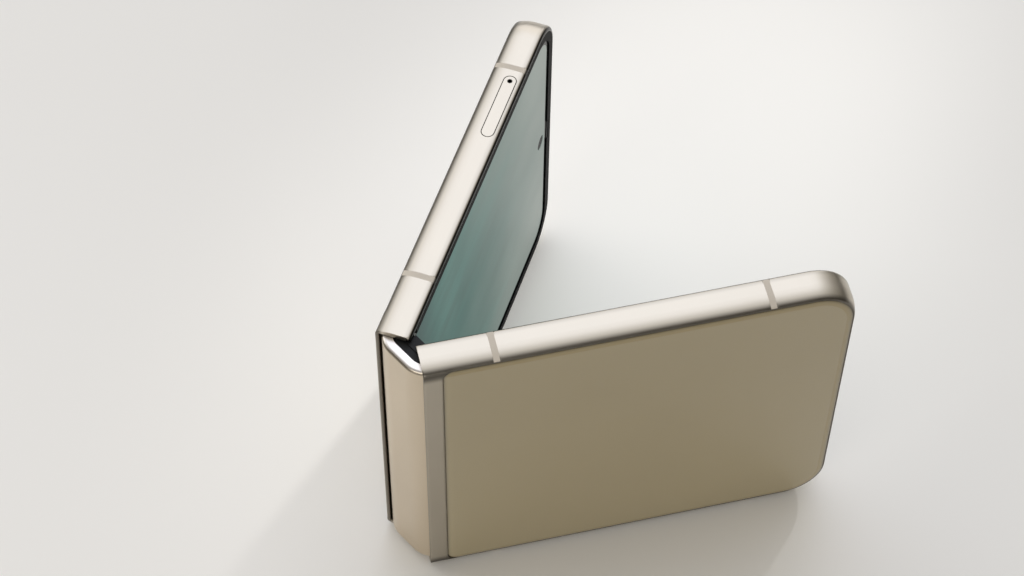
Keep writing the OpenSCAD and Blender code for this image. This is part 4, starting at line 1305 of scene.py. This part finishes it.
@dataclass
class Glasswork:
    """The three panes on the backs of the halves."""

    camera_r: float = 5.85
    flash_r: float = 1.45

    def build(self) -> None:
        """Builds, dresses and seats each pane."""
        holes = (*((*place, self.camera_r) for place in CAMERAS), (*FLASH, self.flash_r))
        for node, pane, finish in (
            ("lower_back_glass", BackPane(Where.LOWER), CREAM_GLASS),
            ("upper_back_glass", BackPane(Where.UPPER, Share.NEAR), CREAM_GLASS),
            ("cover_glass", BackPane(Where.UPPER, Share.FAR, holes=holes), BLACK_GLASS),
        ):
            piece = pane.mesh(node.replace("glass", "pane"))
            finish.dress(piece, pane.where)
            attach(piece, pane.where.body)
            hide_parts(node)
            LOG.info("%s: %d faces", piece.name, len(piece.data.polygons))


@dataclass
class BentStrip:
    """A strip that bends over the fold in two parts, one for each half.

    A part reaches so far from the fold line, and past the landed share it runs straight along its half.
    """

    node: ClassVar[str]
    slot: ClassVar[str]
    finish: ClassVar[Finish]
    thick: float
    reach: float
    w0: float
    w1: float
    landed: float = 1.0
    steps: int = 24
    rows: int = 24

    def line(self, share: float) -> tuple[Vector, Vector]:
        """Returns the middle layer's point and its outward way, at a share of one half's part."""
        raise NotImplementedError

    def part(self, where: Where) -> bpy.types.Object:
        """Builds one half's part.

        Args:
            where: The half.

        Returns:
            The part, bending between the spine and the half.
        """
        points: list[Vector] = []
        sheet: list[tuple[float, float]] = []
        rows = [self.w0 + (self.w1 - self.w0) * row / self.rows for row in range(self.rows + 1)]
        ring = [(w, -0.5) for w in rows] + [(w, 0.5) for w in reversed(rows)]
        for share in (k / self.steps for k in range(self.steps + 1)):
            middle, way = self.line(share)
            for w, side in ring:
                spot = middle + way * self.thick * side
                points.append(FOLD.spine_point(where.side * spot.x, spot.y, w))
                sheet.append((share * self.reach, w))
        count = len(ring)
        faces = stacked(self.steps + 1, count)[:-2]
        for first in (0, self.steps * count):
            for k in range(first, first + self.rows):
                across = 2 * first + count - 1 - k
                faces.append((k, k + 1, across - 1, across))
        made = piece_of(f"{self.node}_{where.name.lower()}", points, faces, sharp=50)
        layer = made.data.uv_layers.new(name=SHEET)
        for loop in made.data.loops:
            layer.data[loop.index].uv = sheet[loop.vertex_index]
        return made

    def build(self) -> None:
        """Builds and dresses both parts, each already bent between the spine and its half."""
        for where in (Where.LOWER, Where.UPPER):
            piece = self.part(where)
            self.finish.dress(piece, where)
            start, _ = self.line(0.0)
            end, _ = self.line(self.landed)
            mid = (self.w0 + self.w1) / 2
            where.body
            FOLD.spine_point(where.side * start.x, start.y, mid)
            FOLD.spine_point(where.side * end.x, end.y, mid)
            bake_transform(piece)
            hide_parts(self.node)
            LOG.info("%s: %d faces", piece.name, len(piece.data.polygons))


@dataclass
class FoldFilm(BentStrip):
    """The stretch of film over the fold, an arc whose length stays the same at every turn."""

    node = "display_fold"
    slot = "display_film"
    finish = SCREEN_SHEET
    thick: float = 0.5
    reach: float = 3.29
    w0: float = HALF.film_inset
    w1: float = HALF.width - HALF.film_inset

    def line(self, share: float) -> tuple[Vector, Vector]:
        """Follows the arc.

        Args:
            share: How far along it.

        Returns:
            The middle layer's point and its outward way.
        """
        radius = self.reach / FOLD.turn
        top = (self.reach - FOLD.axis_s) * math.sin(FOLD.turn) + radius * math.cos(FOLD.turn)
        angle = share * FOLD.turn
        way = Vector((-math.sin(angle), math.cos(angle), 0))
        return Vector((0, top, 0)) - radius * way, way


@dataclass
class FlexCable(BentStrip):
    """The flat cable that runs behind the gears from one half's board to the other's."""

    node = "hinge_flex"
    slot = "copper"
    finish = CABLE
    thick: float = 0.12
    reach: float = 12.0
    w0: float = 21.7
    w1: float = 29.7
    landed: float = 0.6
    flex_s: float = 4.0
    flex_t: float = 4.7

    def line(self, share: float) -> tuple[Vector, Vector]:
        """Follows an arc over the spine and then a straight tail.

        Args:
            share: How far along them.

        Returns:
            The middle layer's point and its outward way.
        """
        c, n = math.cos(FOLD.turn), math.sin(FOLD.turn)
        s, t = self.flex_s - FOLD.axis_s, self.flex_t - FOLD.axis_t
        end = Vector((FOLD.axis_s + c * s - n * t, n * s + c * t, 0))
        radius = end.x / n
        if share <= self.landed:
            angle = share / self.landed * FOLD.turn
            way = Vector((-math.sin(angle), math.cos(angle), 0))
            return Vector((0, end.y + radius * c, 0)) - radius * way, way
        run = (share - self.landed) / (1 - self.landed) * (self.reach - self.flex_s)
        return end + Vector((c, n, 0)) * run, Vector((-n, c, 0))


# ---------- carried-over nodes ----------


@dataclass
class Solids:
    """The frame's own solids, each with the finish of what it is."""

    homes: dict[str, Where] = field(default_factory=lambda: {
        "lower_half": Where.LOWER,
        "upper_half": Where.UPPER,
        "card_tray": Where.UPPER,
        "power_key": Where.UPPER,
        "volume_rocker": Where.UPPER,
    })

    def dress(self) -> None:
        """Dresses every node, by its own name or by its material slot."""
        for body, nodes in frame["record"]["behaviour"]["bodies"].items():
            for node in nodes:
                piece = frame["nodes"][node]
                slot = piece.material_slots[0].material.name.split(".")[0]
                finish = NODE_FINISHES.get(node) or SLOT_FINISHES[slot]
                finish.dress(piece, self.homes.get(body, Where.SPINE))
                LOG.info("%s: %s", node, slot)


# ---------- studio ----------


@dataclass
class Table:
    """A round tabletop with a rounded rim, in metres."""

    reach: float = 0.36
    rim: float = 0.006
    rim_steps: int = 16
    sides: int = 192

    def build(self) -> None:
        """Lays the tabletop, open below."""
        flat = self.reach - self.rim
        points = []
        for bend in (math.pi * k / self.rim_steps for k in range(self.rim_steps + 1)):
            radius, height = flat + self.rim * math.sin(bend), self.rim * math.cos(bend) - self.rim
            points += [Vector((*on_circle(0.0, 0.0, radius, a), height)) for a in full_turn(self.sides)]
        made = piece_of("tabletop", points, stacked(self.rim_steps + 1, self.sides)[:-1], sharp=180)
        Tabletop("tabletop").dress(made, Where.SPINE)


@dataclass(frozen=True)
class Light:
    """A light that faces the phone, or another place, from some way off. Lengths are in metres."""

    name: str
    kind: str
    way: Triple
    settings: dict[str, Any]
    aim: Triple = (0.0, 0.0, 0.04)
    away: float = 1.5
    mirrored: bool = True

    def hang(self) -> None:
        """Hangs the light."""
        source = bpy.data.lights.new(self.name, self.kind)
        for key, value in self.settings.items():
            setattr(source, key, value)
        made = placed(self.name, source)
        made.visible_glossy = self.mirrored
        way = Vector(self.way)
        made.location = Vector(self.aim) + way.normalized() * self.away
        made.rotation_euler = (-way).to_track_quat("-Z", "Y").to_euler()


SOFT_LEFT = Light(
    "left", "AREA", (-0.88, -0.30, 0.37),
    {"shape": "RECTANGLE", "size": 1.0, "size_y": 0.8, "energy": 4.4, "color": (1.0, 1.0, 0.99)},
)
SOFT_FRONT = Light(
    "front", "AREA", (0.46, -0.80, 0.36),
    {"shape": "RECTANGLE", "size": 1.8, "size_y": 0.9, "energy": 11.0, "color": (1.0, 0.99, 0.97)},
)
POOL = Light(
    "pool", "SPOT", (-0.22, 0.80, 0.56),
    {"spot_size": math.radians(5.8), "spot_blend": 1.0, "shadow_soft_size": 0.03, "energy": 52.0},
    aim=(-0.028, 0.058, 0.0), away=1.6, mirrored=False,
)


@dataclass
class Studio:
    """The pale tabletop, the lights, the room's own glow and the camera."""

    eye: Triple = (0.20333, -0.19678, 0.47313)
    yaw: float = math.radians(-47.405)
    pitch: float = math.radians(-55.846)
    roll: float = math.radians(0.670)
    lens: float = 92.49
    sensor: float = 36.0
    clip: tuple[float, float] = (0.01, 20.0)
    backdrop: Colour = (0.75, 0.74, 0.73)
    glow_way: Triple = (-0.43, 0.42, 0.80)
    window_way: Triple = (-0.64, 0.75, 0.18)
    window_edge: tuple[float, float] = (0.90, 0.98)
    window: Colour = (1.5, 1.5, 1.55)
    horizon: tuple[float, float] = (-0.2, 0.1)
    floor: Colour = (0.03, 0.03, 0.028)
    walls: tuple[tuple[float, Colour], ...] = (
        (0.0, (0.08, 0.07, 0.055)),
        (0.35, (0.17, 0.16, 0.14)),
        (0.66, (0.47, 0.46, 0.44)),
        (0.84, (0.92, 0.93, 0.96)),
        (0.95, (1.55, 1.61, 1.78)),
        (1.0, (1.61, 1.69, 1.90)),
    )
    lights: tuple[Light, ...] = (SOFT_LEFT, SOFT_FRONT, POOL)

    def room(self) -> None:
        """Fills the room with light: a bright ceiling and a window over dim walls and a dark floor."""
        world = bpy.data.worlds.new("room")
        world.use_nodes = True
        nodes = Nodes(world.node_tree)
        way = nodes.wire("ShaderNodeTexCoord", output="Generated")
        turned = way.dot(Vector(self.glow_way).normalized())
        ceiling = nodes.wire("ShaderNodeValToRGB", {"stops": self.walls}, {0: turned})
        by_window = way.dot(Vector(self.window_way).normalized()).ramp(*self.window_edge)
        glow = nodes.mix(ceiling, self.window, by_window)
        glow = nodes.mix(self.floor, glow, way.z.ramp(*self.horizon))
        seen = nodes.wire("ShaderNodeLightPath", output="Is Camera Ray")
        shown = nodes.wire("ShaderNodeBackground", {}, {"Color": nodes.mix(glow, self.backdrop, seen)})
        nodes.node("ShaderNodeOutputWorld", {}, {"Surface": shown})
        bpy.context.scene.world = world

    def camera(self) -> None:
        """Sets the camera where it sees the phone half open, from above."""
        fore = Vector((
            math.sin(self.yaw) * math.cos(self.pitch),
            math.cos(self.yaw) * math.cos(self.pitch),
            math.sin(self.pitch),
        ))
        level = fore.cross(Vector(UP)).normalized()
        rise = level.cross(fore)
        right = level * math.cos(self.roll) + rise * math.sin(self.roll)
        up = rise * math.cos(self.roll) - level * math.sin(self.roll)
        data = bpy.data.cameras.new("camera")
        data.lens, data.sensor_width = self.lens, self.sensor
        data.clip_start, data.clip_end = self.clip
        made = placed("camera", data)
        made.matrix_world = Matrix.Translation(self.eye) @ Matrix((right, up, -fore)).transposed().to_4x4()
        bpy.context.scene.camera = made

    def build(self) -> None:
        """Sets up everything round the phone."""
        bpy.context.scene.view_settings.view_transform = "Standard"
        self.camera()
        Table().build()
        self.room()
        for light in self.lights:
            light.hang()
        LOG.info("studio: camera, tabletop and %d lights", len(self.lights))


def main() -> None:
    """Builds the studio and the phone's pieces in order."""
    logging.basicConfig(level=logging.INFO, format="%(name)s %(message)s")
    Studio().build()
    Solids().dress()
    Glasswork().build()
    FoldFilm().build()
    FlexCable().build()


if __name__ == "__main__":
    main()
